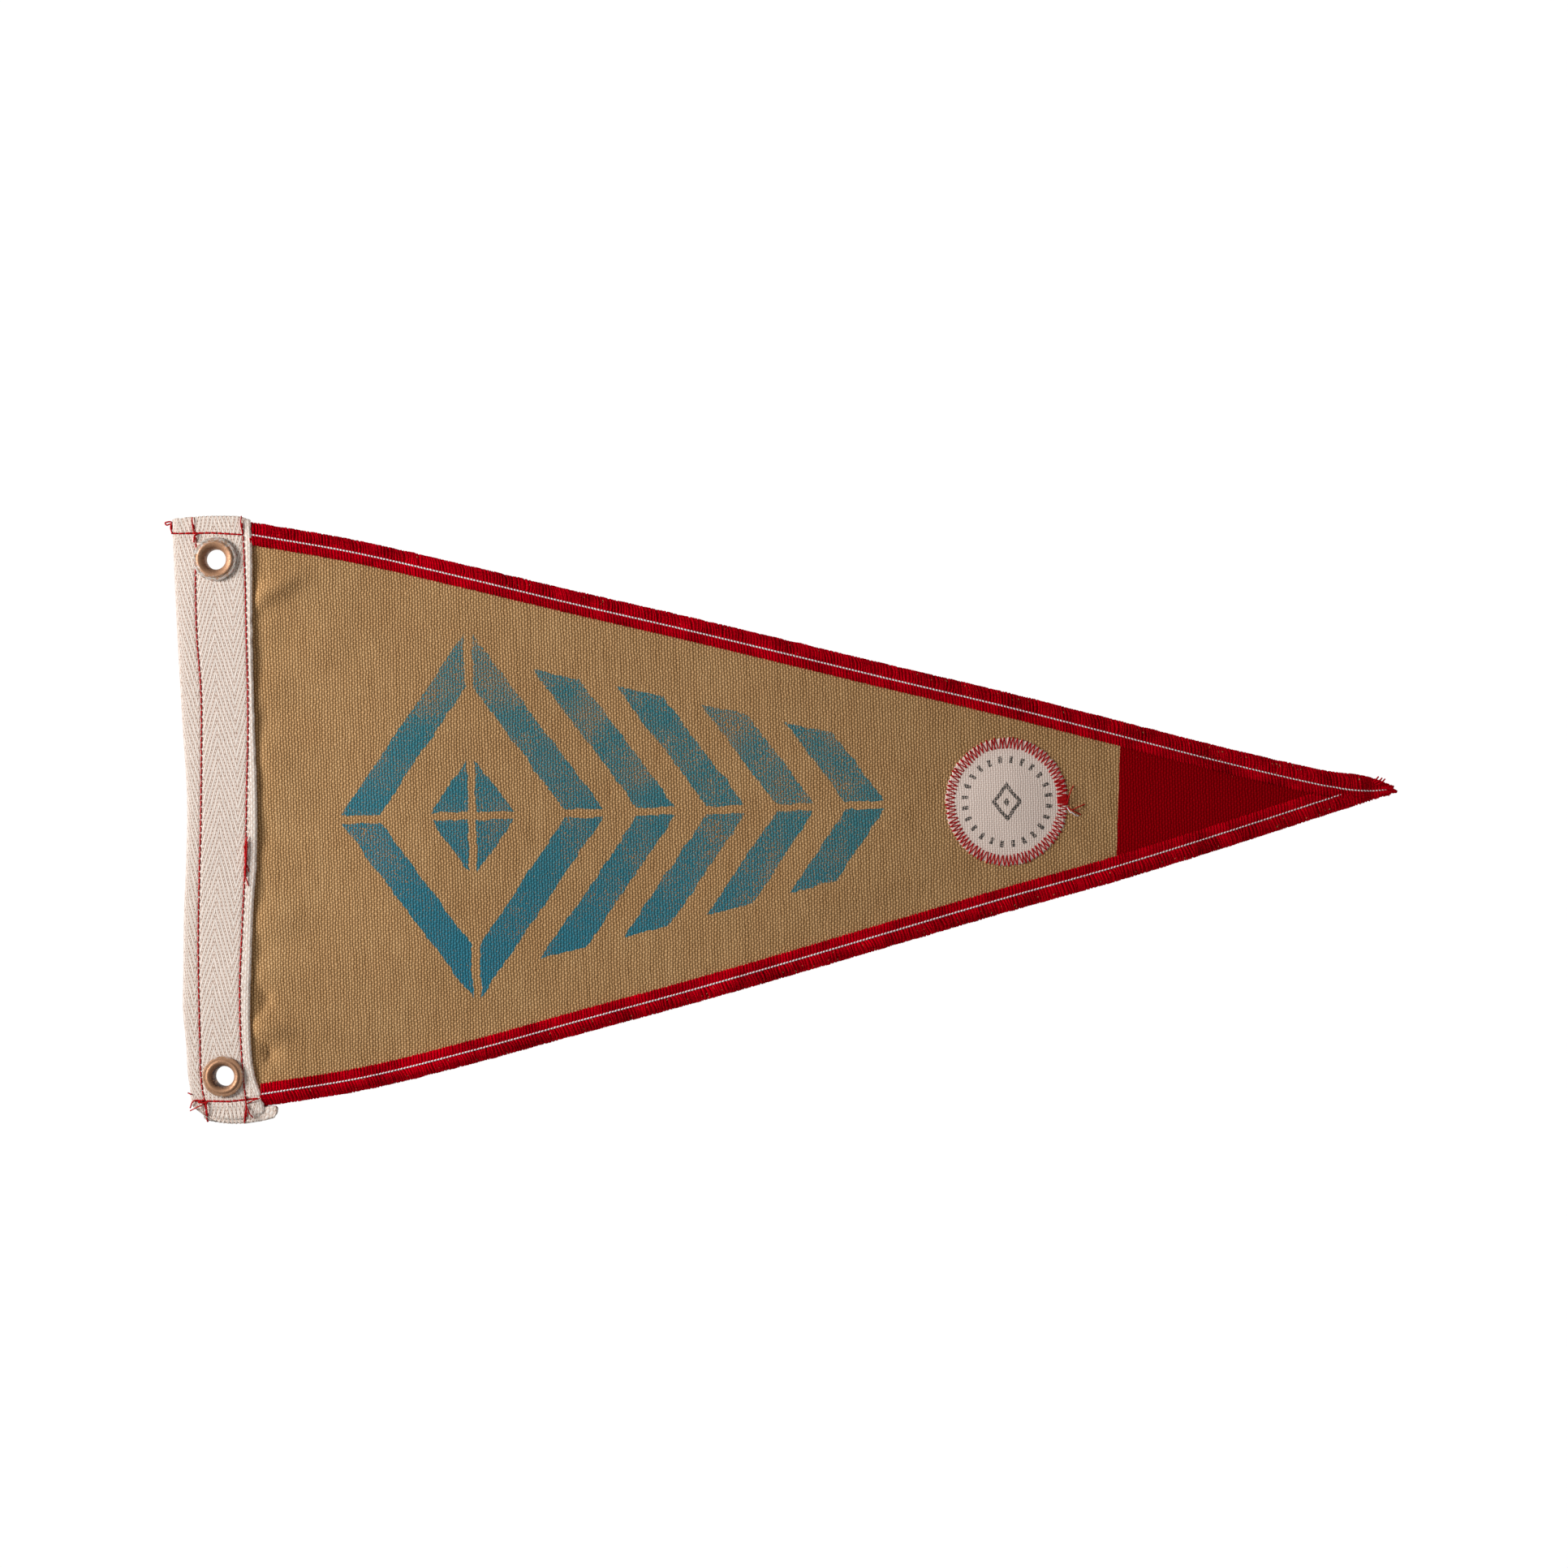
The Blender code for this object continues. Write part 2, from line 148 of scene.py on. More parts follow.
def column_curves(rows):
    """One smooth curve for each column of a table after its first, which holds the keys."""
    keys, *columns = zip(*rows)
    return [curve_through(keys, values) for values in columns]


upper_edge, lower_edge = column_curves(EDGES)
fold_x, front_x, back_x = column_curves(HEADER)

# %% Heights of the cloth above the table
CANVAS = 1.0
TAPE = 0.9
OVERLOCK = 0.7
GAP = 0.3
HALF = CANVAS / 2 + GAP
BODY_LEVEL = HALF + OVERLOCK
HEADER_LEVEL = HALF + TAPE
GROMMET_LEVEL = HEADER_LEVEL + 1.3
FLANGE_TOP = GROMMET_LEVEL + HEADER_LEVEL + GAP + 1.3
SLANT = 1.035
EDGE_WIDTH = 8.2 * SLANT
HEADER_EDGE_X = -197.4

Fold = namedtuple("Fold", "x0 y0 x1 y1 rise half_width")
FOLDS = [Fold(*row) for row in (
    (-196.5, 82.0, -174.0, 93.0, 2.0, 3.4), (-196.0, 66.0, -170.0, 72.0, -0.5, 6.0),
    (-201.0, -67.5, -193.0, -66.0, -1.7, 3.2), (-202.0, -77.0, -184.0, -80.0, 1.5, 3.2),
    (-201.0, -86.5, -190.0, -90.0, -2.0, 3.4), (-197.0, 20.0, -176.0, 14.0, 0.5, 6.0),
    (-199.0, -40.0, -178.0, -36.0, 0.5, 7.0), (-62.0, 36.0, 14.0, 33.0, 0.35, 7.0),
    (-30.0, -28.0, 64.0, -44.0, 0.4, 9.0),
)]


def header_level(y):
    """The header's middle height: it is held up on the grommets and lies flat between them."""
    return HEADER_LEVEL + (GROMMET_LEVEL - HEADER_LEVEL) * smoothstep((abs(y) - 28.0) / 50.0)


def fold_height(x, y):
    """Sum of the low folds, each a soft ridge or trough along its own line."""
    height = 0.0
    for fold in FOLDS:
        along = Vector((fold.x1 - fold.x0, fold.y1 - fold.y0))
        point = Vector((x - fold.x0, y - fold.y0))
        t = point.dot(along) / along.length_squared
        nearest = along * min(max(t, 0.0), 1.0)
        distance = (point - nearest).length
        fade = smoothstep(1.6 - 1.6 * t) if t > 0.4 else 1.0
        height += fold.rise * fade * math.exp(-((distance / fold.half_width) ** 2))
    return height


def band_level(x, y):
    """Middle height of the cloth inside an overlocked edge."""
    out = smoothstep((x - HEADER_EDGE_X) / 55.0)
    return header_level(y) * (1 - out) + BODY_LEVEL * out


def canvas_height(x, y):
    """Middle height of the canvas: the level of its edges with the folds and puckers on it."""
    level = band_level(x, y)
    tape_edge = front_x(y)
    if x <= tape_edge:
        return level
    out = smoothstep((x - HEADER_EDGE_X) / 55.0)
    clear = min(upper_edge(x) - EDGE_WIDTH - y, y - lower_edge(x) - EDGE_WIDTH)
    free = smoothstep(clear / 14.0) * smoothstep((x - tape_edge) / 3.0)
    pucker = 0.35 * math.sin(2 * math.pi * y / 21.0)
    pucker *= math.exp(-(x - HEADER_EDGE_X) / 16.0)
    swell = 0.8 * math.sin(2 * math.pi * x / 190.0) * smoothstep(clear / 40.0)
    ripple = 0.16 * drift(x, y, 26.0, 3.0) + 0.05 * drift(x, y, 7.0, 5.0)
    dip = -0.40 * math.exp(-(((x - tape_edge - 1.6) / 3.0) ** 2)) * smoothstep(clear / 4.0)
    rise = dip + free * (fold_height(x, y) + pucker + swell * out + ripple)
    deepest = -0.22 - 3.0 * smoothstep((x - back_x(y) - 0.2) / 2.5)
    return level + max(rise, deepest)


# %% [markdown]
# ## Camera and light
#
# The flag was laid flat and taken from straight above, turned by a degree and a half. One
# large soft light stands low on the hoist side, so the weave casts short shadows to the
# right and the cloth grows darker towards the tip.

# %% Camera above the flag
CAMERA_HEIGHT = 1.5
VIEW_WIDTH = 0.5854
TURN = math.radians(-1.5)
VIEW_CENTRE = (-1.4 * MM, 7.9 * MM)

bpy.ops.object.camera_add(location=(*VIEW_CENTRE, CAMERA_HEIGHT + 2 * MM), rotation=(0, 0, TURN))
camera = bpy.context.object
camera.name = "camera_above"
camera.data.sensor_width = 36.0
camera.data.lens = camera.data.sensor_width * CAMERA_HEIGHT / VIEW_WIDTH
camera.data.clip_start = 0.05
scene.camera = camera

# %% Key light on the hoist side, and a pale room
scene.view_settings.view_transform = "Standard"
key_place = Vector((-1.05, 0.22, 0.47))
bpy.ops.object.light_add(type="AREA", location=key_place)
key = bpy.context.object
key.name = "key_light"
key.data.shape = "RECTANGLE"
key.data.size = 0.30
key.data.size_y = 0.42
key.data.energy = 13.6
key.rotation_euler = (Vector((-0.02, 0.0, 0.0)) - key_place).to_track_quat("-Z", "Y").to_euler()

world = bpy.data.worlds.new("pale_room")
world.use_nodes = True
room = world.node_tree.nodes["Background"]
room.inputs["Color"].default_value = (1.0, 0.985, 0.97, 1.0)
room.inputs["Strength"].default_value = 0.26
scene.world = world

# %% [markdown]
# ## Finishes
#
# Every finish here is a Principled shader fed by a few nodes. Cloth is a pattern of yarns:
# the height of each yarn gives the bump, and the same height says where dye and ink sit and
# where shade is painted dark into the gaps. All patterns are sized in millimetres from the real yarn
# spacing.


# %% One function for nodes, one for colours, one that starts a material
def add_node(tree, kind, *values, out=0, inputs=None, **settings):
    """Adds one node, sets or links its sockets, and gives back one of its outputs."""
    made = tree.nodes.new("ShaderNode" + kind)
    for name, value in settings.items():
        setattr(made, name, value)
    for socket, value in [*enumerate(values), *(inputs or {}).items()]:
        if isinstance(value, bpy.types.NodeSocket):
            tree.links.new(value, made.inputs[socket])
        else:
            made.inputs[socket].default_value = value
    return made.outputs[out]


def colour(hex_code):
    """sRGB hex to the linear colour that Blender's shaders use."""
    parts = [int(hex_code[i : i + 2], 16) / 255 for i in (1, 3, 5)]
    linear = [p / 12.92 if p <= 0.04045 else ((p + 0.055) / 1.055) ** 2.4 for p in parts]
    return (*linear, 1.0)


def start_finish(name, roughness, **shader_values):
    """A new material: gives back the material, its shader and a way to add its nodes."""
    material = bpy.data.materials.new(name)
    material.use_nodes = True
    shader = material.node_tree.nodes["Principled BSDF"]
    for socket, value in {"Roughness": roughness, **shader_values}.items():
        shader.inputs[socket.replace("_", " ")].default_value = value
    return material, shader, partial(add_node, material.node_tree)


def feed(material, shader, **sources):
    """Links finished patterns into the shader's sockets."""
    for socket, source in sources.items():
        material.node_tree.links.new(source, shader.inputs[socket.replace("_", " ")])


# %% [markdown]
# Duck is a plain weave: each yarn goes over one and under the next. The upright yarns are
# fat and stand proud as rows of beads. Twill tape goes over two and under two, one yarn
# further on each time. A yarn's crest is a cosine across it, and its rise and dip are a
# cosine along it, so the higher of two such waves is the woven surface.


# %% Woven surface
def woven(add, across, along, lift, weft_drop, over):
    """Height of a weave from its two places counted in yarns; over is 1 for plain, 2 for twill."""
    start = 0.0 if over == 1 else 0.5
    heights = []
    for here, other, drop, swing, offset in (
        (across, along, 0.0, lift, start),
        (along, across, weft_drop, -lift, -start),
    ):
        number = add("Math", here, operation="ROUND")
        side = add("Math", here, number, operation="SUBTRACT")
        crest = add("Math", add("Math", side, math.pi, operation="MULTIPLY"), operation="COSINE")
        step = add("Math", add("Math", other, number, operation="SUBTRACT"), offset)
        wave = add("Math", add("Math", step, math.pi / over, operation="MULTIPLY"), operation="COSINE")
        body = add("Math", crest, 0.55, 0.15 - drop, operation="MULTIPLY_ADD")
        heights.append(add("Math", wave, swing, body, operation="MULTIPLY_ADD"))
    return add("Math", *heights, operation="MAXIMUM")


def plain_weave(add, place, warp_pitch, weft_pitch, weft_drop):
    """Height of a plain weave laid square on the millimetre grid."""
    split = add("SeparateXYZ", place)
    across = add("Math", split, 1.0 / warp_pitch, operation="MULTIPLY")
    along = add("Math", split.node.outputs[1], 1.0 / weft_pitch, operation="MULTIPLY")
    return woven(add, across, along, 0.30, weft_drop, 1)


def in_millimetres(add, wobble, wobble_size):
    """Object coordinates in millimetres, pushed a little off true as real yarns are."""
    spot = add("TexCoord", out=3)
    mm = add("VectorMath", spot, inputs={"Scale": 1.0 / MM}, operation="SCALE")
    shift = add("TexNoise", mm, out=1, inputs={"Scale": 1.0 / wobble_size, "Detail": 1.0})
    centred = add("VectorMath", shift, (0.5, 0.5, 0.5), operation="SUBTRACT")
    moved = add("VectorMath", centred, inputs={"Scale": wobble}, operation="SCALE")
    return mm, add("VectorMath", mm, moved)


# %% [markdown]
# Ink pressed through a stencil sits on the crowns of the yarns and misses the gaps. So a
# printed shape is two masks multiplied: the stencil's shape, worked out from its sizes with
# a wobble for the hand-cut edge, and the yarns' height with a patchy threshold. The design
# is a plain diamond and chevrons that run on towards the tip.

# %% Sizes of the print
DIAMOND_X, DIAMOND_Y = -118.0, -1.0
DIAMOND_HALF_WIDTH, DIAMOND_HALF_HEIGHT = 50.0, 70.0
STROKE = 0.286
CORE = 0.33
CHEVRON_STEP = 0.52
CHEVRON_FIRST, CHEVRON_LAST = 1.25, 3.2
CHEVRON_ARM, ARM_LOSS = 72.0, 14.3
BRIDGE = 1.5
TIP_PRINT_X = 123.3
TIP_PRINT_LEAN = 0.0567


def stencil_mask(add, place):
    """1 inside the printed shapes, 0 outside."""
    near = add("VectorMath", place, (-DIAMOND_X, -DIAMOND_Y, 0.0))
    split = add("SeparateXYZ", near)
    side_x = add("Math", split, operation="ABSOLUTE")
    side_y = add("Math", split.node.outputs[1], operation="ABSOLUTE")
    rise = add("Math", side_y, 1.0 / DIAMOND_HALF_HEIGHT, operation="MULTIPLY")
    ring = add("Math", side_x, 1.0 / DIAMOND_HALF_WIDTH, rise, operation="MULTIPLY_ADD")
    diamond = add("Math", ring, 1.0 - STROKE / 2, STROKE / 2, operation="COMPARE")
    core = add("Math", ring, CORE, operation="LESS_THAN")
    fan = add("Math", split, 1.0 / DIAMOND_HALF_WIDTH, rise, operation="MULTIPLY_ADD")
    from_first = add("Math", fan, CHEVRON_FIRST, operation="SUBTRACT")
    turn = add("Math", from_first, 1.0 / CHEVRON_STEP, operation="MULTIPLY")
    part = add("Math", turn, operation="FRACT")
    bar = add("Math", part, STROKE / CHEVRON_STEP, operation="LESS_THAN")
    span = (CHEVRON_LAST - CHEVRON_FIRST) / 2
    reach = add("Math", fan, CHEVRON_FIRST + span, span, operation="COMPARE")
    arm = add("Math", fan, -ARM_LOSS, CHEVRON_ARM, operation="MULTIPLY_ADD")
    short = add("Math", side_y, arm, operation="LESS_THAN")
    chevrons = add("Math", add("Math", bar, reach, operation="MULTIPLY"), short, operation="MULTIPLY")
    shapes = add("Math", add("Math", diamond, core, operation="MAXIMUM"), chevrons, operation="MAXIMUM")
    level_bridge = add("Math", side_y, BRIDGE, operation="GREATER_THAN")
    upright_bridge = add("Math", side_x, BRIDGE, operation="GREATER_THAN")
    open_way = add("Math", level_bridge, upright_bridge, operation="MULTIPLY")
    return add("Math", shapes, open_way, operation="MULTIPLY")


# %% Cotton duck, with and without its print
DUCK_WARP = 1.045
DUCK_WEFT = 0.732


def duck_canvas(name, printed):
    """Heavy cotton duck: dry, matt, beaded with fat upright yarns."""
    material, shader, add = start_finish(name, 0.92, Specular_IOR_Level=0.0)
    mm, bent = in_millimetres(add, 0.9, 9.0)
    jitter = add("TexNoise", mm, out=1, inputs={"Scale": 0.55, "Detail": 1.0})
    loose = add("VectorMath", jitter, (0.5, 0.5, 0.5), operation="SUBTRACT")
    place = add("VectorMath", bent, add("VectorMath", loose, inputs={"Scale": 0.9}, operation="SCALE"))
    top = plain_weave(add, place, DUCK_WARP, DUCK_WEFT, 0.34)
    slub = add("TexNoise", add("VectorMath", place, (1.0, 0.09, 1.0), operation="MULTIPLY"),
               inputs={"Scale": 0.8, "Detail": 2.0})
    patchy = add("TexNoise", mm, inputs={"Scale": 0.05, "Detail": 3.0})
    speck = add("TexNoise", mm, inputs={"Scale": 2.6, "Detail": 2.0})
    # Painted shade: the colour follows the yarns' height, dark brown in the gaps between them and light on
    # their crowns.
    shade = add("Math", slub, 0.3, top, operation="MULTIPLY_ADD")
    ramp = add("ValToRGB", add("Math", shade, 0.15, operation="SUBTRACT"))
    stops = ramp.node.color_ramp.elements
    stops[0].position, stops[0].color = 0.12, colour("#54361a")
    stops[1].position, stops[1].color = 1.0, colour("#e6bb88")
    stops.new(0.55).color = colour("#b98e5f")
    tone = add("MixRGB", 0.22, ramp, add("ValToRGB", patchy), blend_type="SOFT_LIGHT")
    if printed:
        edge_mm = add("TexNoise", mm, out=1, inputs={"Scale": 0.16, "Detail": 3.0, "Roughness": 0.62})
        centred = add("VectorMath", edge_mm, (0.5, 0.5, 0.5), operation="SUBTRACT")
        hand_cut = add("VectorMath", centred, inputs={"Scale": 2.6}, operation="SCALE")
        shape = stencil_mask(add, add("VectorMath", place, hand_cut))
        split = add("SeparateXYZ", mm)
        fill = add("Math", split.node.outputs[1], -0.0016, operation="MULTIPLY")
        fill = add("Math", split, -0.0006, fill, operation="MULTIPLY_ADD")
        soak = add("Math", patchy, 0.6, fill, operation="MULTIPLY_ADD")
        soak = add("Math", speck, 1.5, soak, operation="MULTIPLY_ADD")
        inked = add("Math", top, 0.35, soak, operation="MULTIPLY_ADD")
        cover = add("MapRange", inked, 1.10, 1.21, 0.0, 0.96)
        wet = add("MixRGB", add("MapRange", fill, 0.0, 0.2), colour("#3d8c98"), colour("#2588a4"))
        # Painted shade: the ink is darker where the yarns dip into the gaps.
        deep = add("MixRGB", add("MapRange", top, 0.15, 0.75), colour("#1c5058"), wet)
        ink = add("Math", cover, shape, operation="MULTIPLY")
        tone = add("MixRGB", ink, tone, deep)
        tilt = add("Math", split.node.outputs[1], -TIP_PRINT_LEAN, split, operation="MULTIPLY_ADD")
        ragged = add("Math", speck, 0.9, tilt, operation="MULTIPLY_ADD")
        red = add("Math", ragged, TIP_PRINT_X + 0.45, operation="GREATER_THAN")
        bare = add("MapRange", speck, 0.76, 0.80)
        red = add("Math", red, add("Math", bare, -0.5, 1.0, operation="MULTIPLY_ADD"), operation="MULTIPLY")
        # The red print, with painted shade darkening it in the gaps between yarns.
        red_print_and_gap_shade = add("MixRGB", add("MapRange", top, 0.1, 0.9), colour("#7a0007"), colour("#a8000e"))
        tone = add("MixRGB", red, tone, red_print_and_gap_shade)
    bump = add("Bump", 0.9, 0.32 * MM, inputs={"Height": top})
    feed(material, shader, Base_Color=tone, Normal=bump)
    return material


canvas_front = duck_canvas("khaki duck canvas, printed face", True)
canvas_back = duck_canvas("khaki duck canvas, plain back", False)

# %% [markdown]
# Herringbone tape is a two-over, two-under twill whose diagonal turns back every 7 mm. Each
# warp thread lies one pick further on than its neighbour, which makes the steep ribs. The
# weave follows the tape, so the pattern reads the distance across and along it that each
# point of the mesh carries.

# %% Herringbone cotton tape
TAPE_WARP = 0.384
TAPE_PICK = 1.21
STRIP_START = 7.06
STRIP = 6.85
SELVAGE = 2.7
SELVAGE_CORD = 0.95


def herringbone_tape():
    """Natural cotton tape: pale, soft and dry, with steep ribs."""
    material, shader, add = start_finish(
        "natural herringbone tape", 0.93, Specular_IOR_Level=0.15
    )
    cloth = add("Attribute", attribute_name="tape_mm", out=1)
    loose = add("TexNoise", cloth, out=1, inputs={"Scale": 0.35, "Detail": 2.0})
    centred = add("VectorMath", loose, (0.5, 0.5, 0.5), operation="SUBTRACT")
    moved = add("VectorMath", cloth, add("VectorMath", centred, (0.35, 1.6, 0.0), operation="MULTIPLY"))
    split = add("SeparateXYZ", moved)
    strip = add("Math", add("Math", split, STRIP_START, operation="SUBTRACT"), STRIP, operation="PINGPONG")
    pick = add("Math", split.node.outputs[1], 1.0 / TAPE_PICK, operation="MULTIPLY")
    twill = woven(add, add("Math", strip, 1.0 / TAPE_WARP, operation="MULTIPLY"), pick, 0.50, 0.55, 2)
    cords = woven(add, add("Math", split, 1.0 / SELVAGE_CORD, operation="MULTIPLY"), pick, 0.38, 0.50, 1)
    cords = add("Math", cords, 0.12)
    in_selvage = add("Math", split, SELVAGE, operation="LESS_THAN")
    height = add("MixRGB", in_selvage, twill, cords)
    fluff = add("TexNoise", cloth, inputs={"Scale": 2.4, "Detail": 3.0})
    # Painted shade: the tape's colour follows its yarns' height, darker in the gaps between ribs.
    grey = add("Math", fluff, 0.7, height, operation="MULTIPLY_ADD")
    ramp = add("ValToRGB", add("Math", grey, 0.33, operation="SUBTRACT"))
    stops = ramp.node.color_ramp.elements
    stops[0].position, stops[0].color = 0.10, colour("#967563")
    stops[1].position, stops[1].color = 0.85, colour("#fff4ea")
    stops.new(0.45).color = colour("#efd8c9")
    # Painted shade: the tape's colour goes greyer where it turns round the fold.
    wear_and_painted_fold_shade = add("Math", split.node.outputs[2], 0.9, operation="MULTIPLY")
    tone = add("MixRGB", wear_and_painted_fold_shade, ramp, colour("#b5a89f"))
    bump = add("Bump", 0.8, 0.12 * MM, inputs={"Height": height})
    feed(material, shader, Base_Color=tone, Normal=bump)
    return material


tape_finish = herringbone_tape()

# %% [markdown]
# Thread shows as colour and sheen more than as weave. The overlock thread is a bright red
# spun polyester that goes nearly black between its strands, and the seam thread is the same
# red but finer. Patch cloth is a lighter plain weave with grey ink stamped on it.


# %% Threads
def thread_finish(name, deep, bright, roughness, gloss):
    """Spun thread: a soft gloss, slightly uneven colour along it."""
    material, shader, add = start_finish(name, roughness, Specular_IOR_Level=gloss)
    mm = add("VectorMath", add("TexCoord", out=3), inputs={"Scale": 1.0 / MM}, operation="SCALE")
    fibre = add("TexNoise", mm, inputs={"Scale": 2.2, "Detail": 3.0, "Roughness": 0.7})
    patch = add("TexNoise", mm, inputs={"Scale": 0.12, "Detail": 2.0})
    both = add("Math", fibre, 0.7, add("Math", patch, 0.3, operation="MULTIPLY"), operation="MULTIPLY_ADD")
    tone = add("MixRGB", add("MapRange", both, 0.38, 0.62), colour(deep), colour(bright))
    bump = add("Bump", 0.5, 0.10 * MM, inputs={"Height": fibre})
    feed(material, shader, Base_Color=tone, Normal=bump)
    return material


overlock_finish = thread_finish("red overlock thread", "#7a000a", "#e4001c", 0.7, 0.0)
needle_finish = thread_finish("white needle thread", "#f0d2d4", "#ffffff", 0.6, 0.2)
seam_finish = thread_finish("red seam thread", "#98090f", "#cc2024", 0.65, 0.05)
fleck_finish = thread_finish("canvas fibre ends", "#a5774a", "#dcae7c", 0.85, 0.1)

# %% Patch cloth with a stamped ring of ticks and a diamond
PATCH_X, PATCH_Y = 81.5, -0.9
PATCH_WARP, PATCH_WEFT = 0.92, 0.80
TICKS = 24
TICK_RADIUS, TICK_HALF_LENGTH = 16.0, 1.25
MARK_HALF_WIDTH, MARK_HALF_HEIGHT = 5.6, 7.4


def stamp_mask(add, place):
    """1 inside the stamped ticks and diamond, 0 outside."""
    near = add("VectorMath", place, (-PATCH_X, -PATCH_Y, 0.0))
    split = add("SeparateXYZ", near)
    radius = add("VectorMath", near, out=1, operation="LENGTH")
    angle = add("Math", split.node.outputs[1], split, operation="ARCTAN2")
    turn = add("Math", add("Math", angle, TICKS / (2 * math.pi), operation="MULTIPLY"), operation="FRACT")
    tick = add("Math", turn, 0.5, 0.16, operation="COMPARE")
    band = add("Math", radius, TICK_RADIUS, TICK_HALF_LENGTH, operation="COMPARE")
    ring = add("Math", tick, band, operation="MULTIPLY")
    side_x = add("Math", add("Math", split, operation="ABSOLUTE"), 1.0 / MARK_HALF_WIDTH,
                 operation="MULTIPLY")
    side_y = add("Math", split.node.outputs[1], operation="ABSOLUTE")
    whole = add("Math", side_y, 1.0 / MARK_HALF_HEIGHT, side_x, operation="MULTIPLY_ADD")
    mark = add("Math", whole, 0.86, 0.15, operation="COMPARE")
    dot = add("Math", whole, 0.22, operation="LESS_THAN")
    return add("Math", ring, add("Math", mark, dot, operation="MAXIMUM"), operation="MAXIMUM")


def patch_cloth():
    """White cotton, a little pink from the thread's dye, with dry grey ink."""
    material, shader, add = start_finish("white cotton patch", 0.93, Specular_IOR_Level=0.15)
    mm, place = in_millimetres(add, 0.9, 4.0)
    top = plain_weave(add, place, PATCH_WARP, PATCH_WEFT, 0.15)
    speck = add("TexNoise", mm, inputs={"Scale": 1.6, "Detail": 2.0})
    # Painted shade: the patch's colour follows its yarns' height, darker in the gaps between them.
    ramp = add("ValToRGB", top)
    stops = ramp.node.color_ramp.elements
    stops[0].position, stops[0].color = 0.10, colour("#ad9485")
    stops[1].position, stops[1].color = 0.90, colour("#ffefe4")
    stops.new(0.5).color = colour("#f4dccf")
    near = add("VectorMath", mm, (-PATCH_X, -PATCH_Y, 0.0))
    radius = add("VectorMath", near, out=1, operation="LENGTH")
    stain = add("MapRange", radius, 18.0, 23.0, 0.0, 0.22)
    tone = add("MixRGB", stain, ramp, colour("#e9a9a0"))
    stamp = stamp_mask(add, place)
    inked = add("Math", top, speck)
    cover = add("MapRange", inked, 0.80, 1.15)
    ink = add("Math", cover, stamp, operation="MULTIPLY")
    tone = add("MixRGB", ink, tone, colour("#4a4845"))
    bump = add("Bump", 0.8, 0.2 * MM, inputs={"Height": top})
    feed(material, shader, Base_Color=tone, Normal=bump)
    return material


patch_finish = patch_cloth()


# %% [markdown]
# The grommets are stamped brass with a copper wash. Handling keeps the throat and the crown
# bright and warm, while the flange's outside has gone grey.


# %% Aged copper-toned brass, worn from the middle outwards
def aged_brass(name, centre, bright_radius, grime):
    """Warm metal in the throat, grey patina on the flange, fine scratches everywhere, and painted shade
    deep in the throat, darker on its side towards the hoist.
    """
    material, shader, add = start_finish(name, 0.5, Metallic=1.0)
    mm = add("VectorMath", add("TexCoord", out=3), inputs={"Scale": 1.0 / MM}, operation="SCALE")
    near = add("VectorMath", mm, (-centre[0], -centre[1], 0.0))
    flat = add("VectorMath", near, (1.0, 1.0, 0.0), operation="MULTIPLY")
    radius = add("VectorMath", flat, out=1, operation="LENGTH")
    split = add("SeparateXYZ", flat)
    angle = add("Math", split.node.outputs[1], split, operation="ARCTAN2")
    around = add("Math", angle, 2.6, operation="MULTIPLY")
    streak = add("TexNoise", add("CombineXYZ", add("Math", radius, 1.5, operation="MULTIPLY"), around),
                 inputs={"Scale": 1.0, "Detail": 4.0, "Roughness": 0.6})
    cloud = add("TexNoise", mm, inputs={"Scale": 0.8, "Detail": 5.0, "Roughness": 0.65})
    pits = add("TexNoise", mm, inputs={"Scale": 2.2, "Detail": 3.0})
    reach = add("Math", cloud, 5.0, radius, operation="MULTIPLY_ADD")
    wear_and_painted_fold_shade = add("MapRange", reach, bright_radius + 2.3, bright_radius + 3.2)
    # Painted shade: the throat darkens deeper below the crown and more on its side towards the hoist,
    # broken up by the streaks.
    depth = add("MapRange", add("SeparateXYZ", mm).node.outputs[2], FLANGE_TOP - 0.25, FLANGE_TOP - 1.4)
    warm = add("MixRGB", cloud, colour("#a37b5d"), colour("#dba985"))
    painted_throat_shade = add("Math", depth, add("MapRange", streak, 0.40, 0.56, 0.4, 1.0), operation="MULTIPLY")
    shaded = add("MapRange", split, -1.5, 3.5, grime, 0.25 * grime)
    painted_throat_shade = add("Math", painted_throat_shade, shaded, operation="MULTIPLY")
    warm = add("MixRGB", painted_throat_shade, warm, colour("#3c2825"))
    patina = add("ValToRGB", streak)
    stops = patina.node.color_ramp.elements
    stops[0].position, stops[0].color = 0.33, colour("#b88a66")
    stops[1].position, stops[1].color = 0.68, colour("#c79f7c")
    for place, shade in ((0.42, "#8f8078"), (0.49, "#dcdcd2"), (0.56, "#c9aca6"), (0.62, "#9c7a68")):
        stops.new(place).color = colour(shade)
    tone = add("MixRGB", wear_and_painted_fold_shade, warm, patina)
    dirt = add("MapRange", pits, 0.60, 0.72, 0.0, 0.8)
    tone = add("MixRGB", dirt, tone, colour("#4a2a22"))
    gloss = add("MapRange", pits, 0.3, 0.7, 0.5, 0.75)
    dull = add("MapRange", wear_and_painted_fold_shade, 0.0, 1.0, 0.6, 0.2)
    bump = add("Bump", 0.5, 0.16 * MM, inputs={"Height": pits})
    feed(material, shader, Base_Color=tone, Roughness=gloss, Metallic=dull, Normal=bump)
    return material


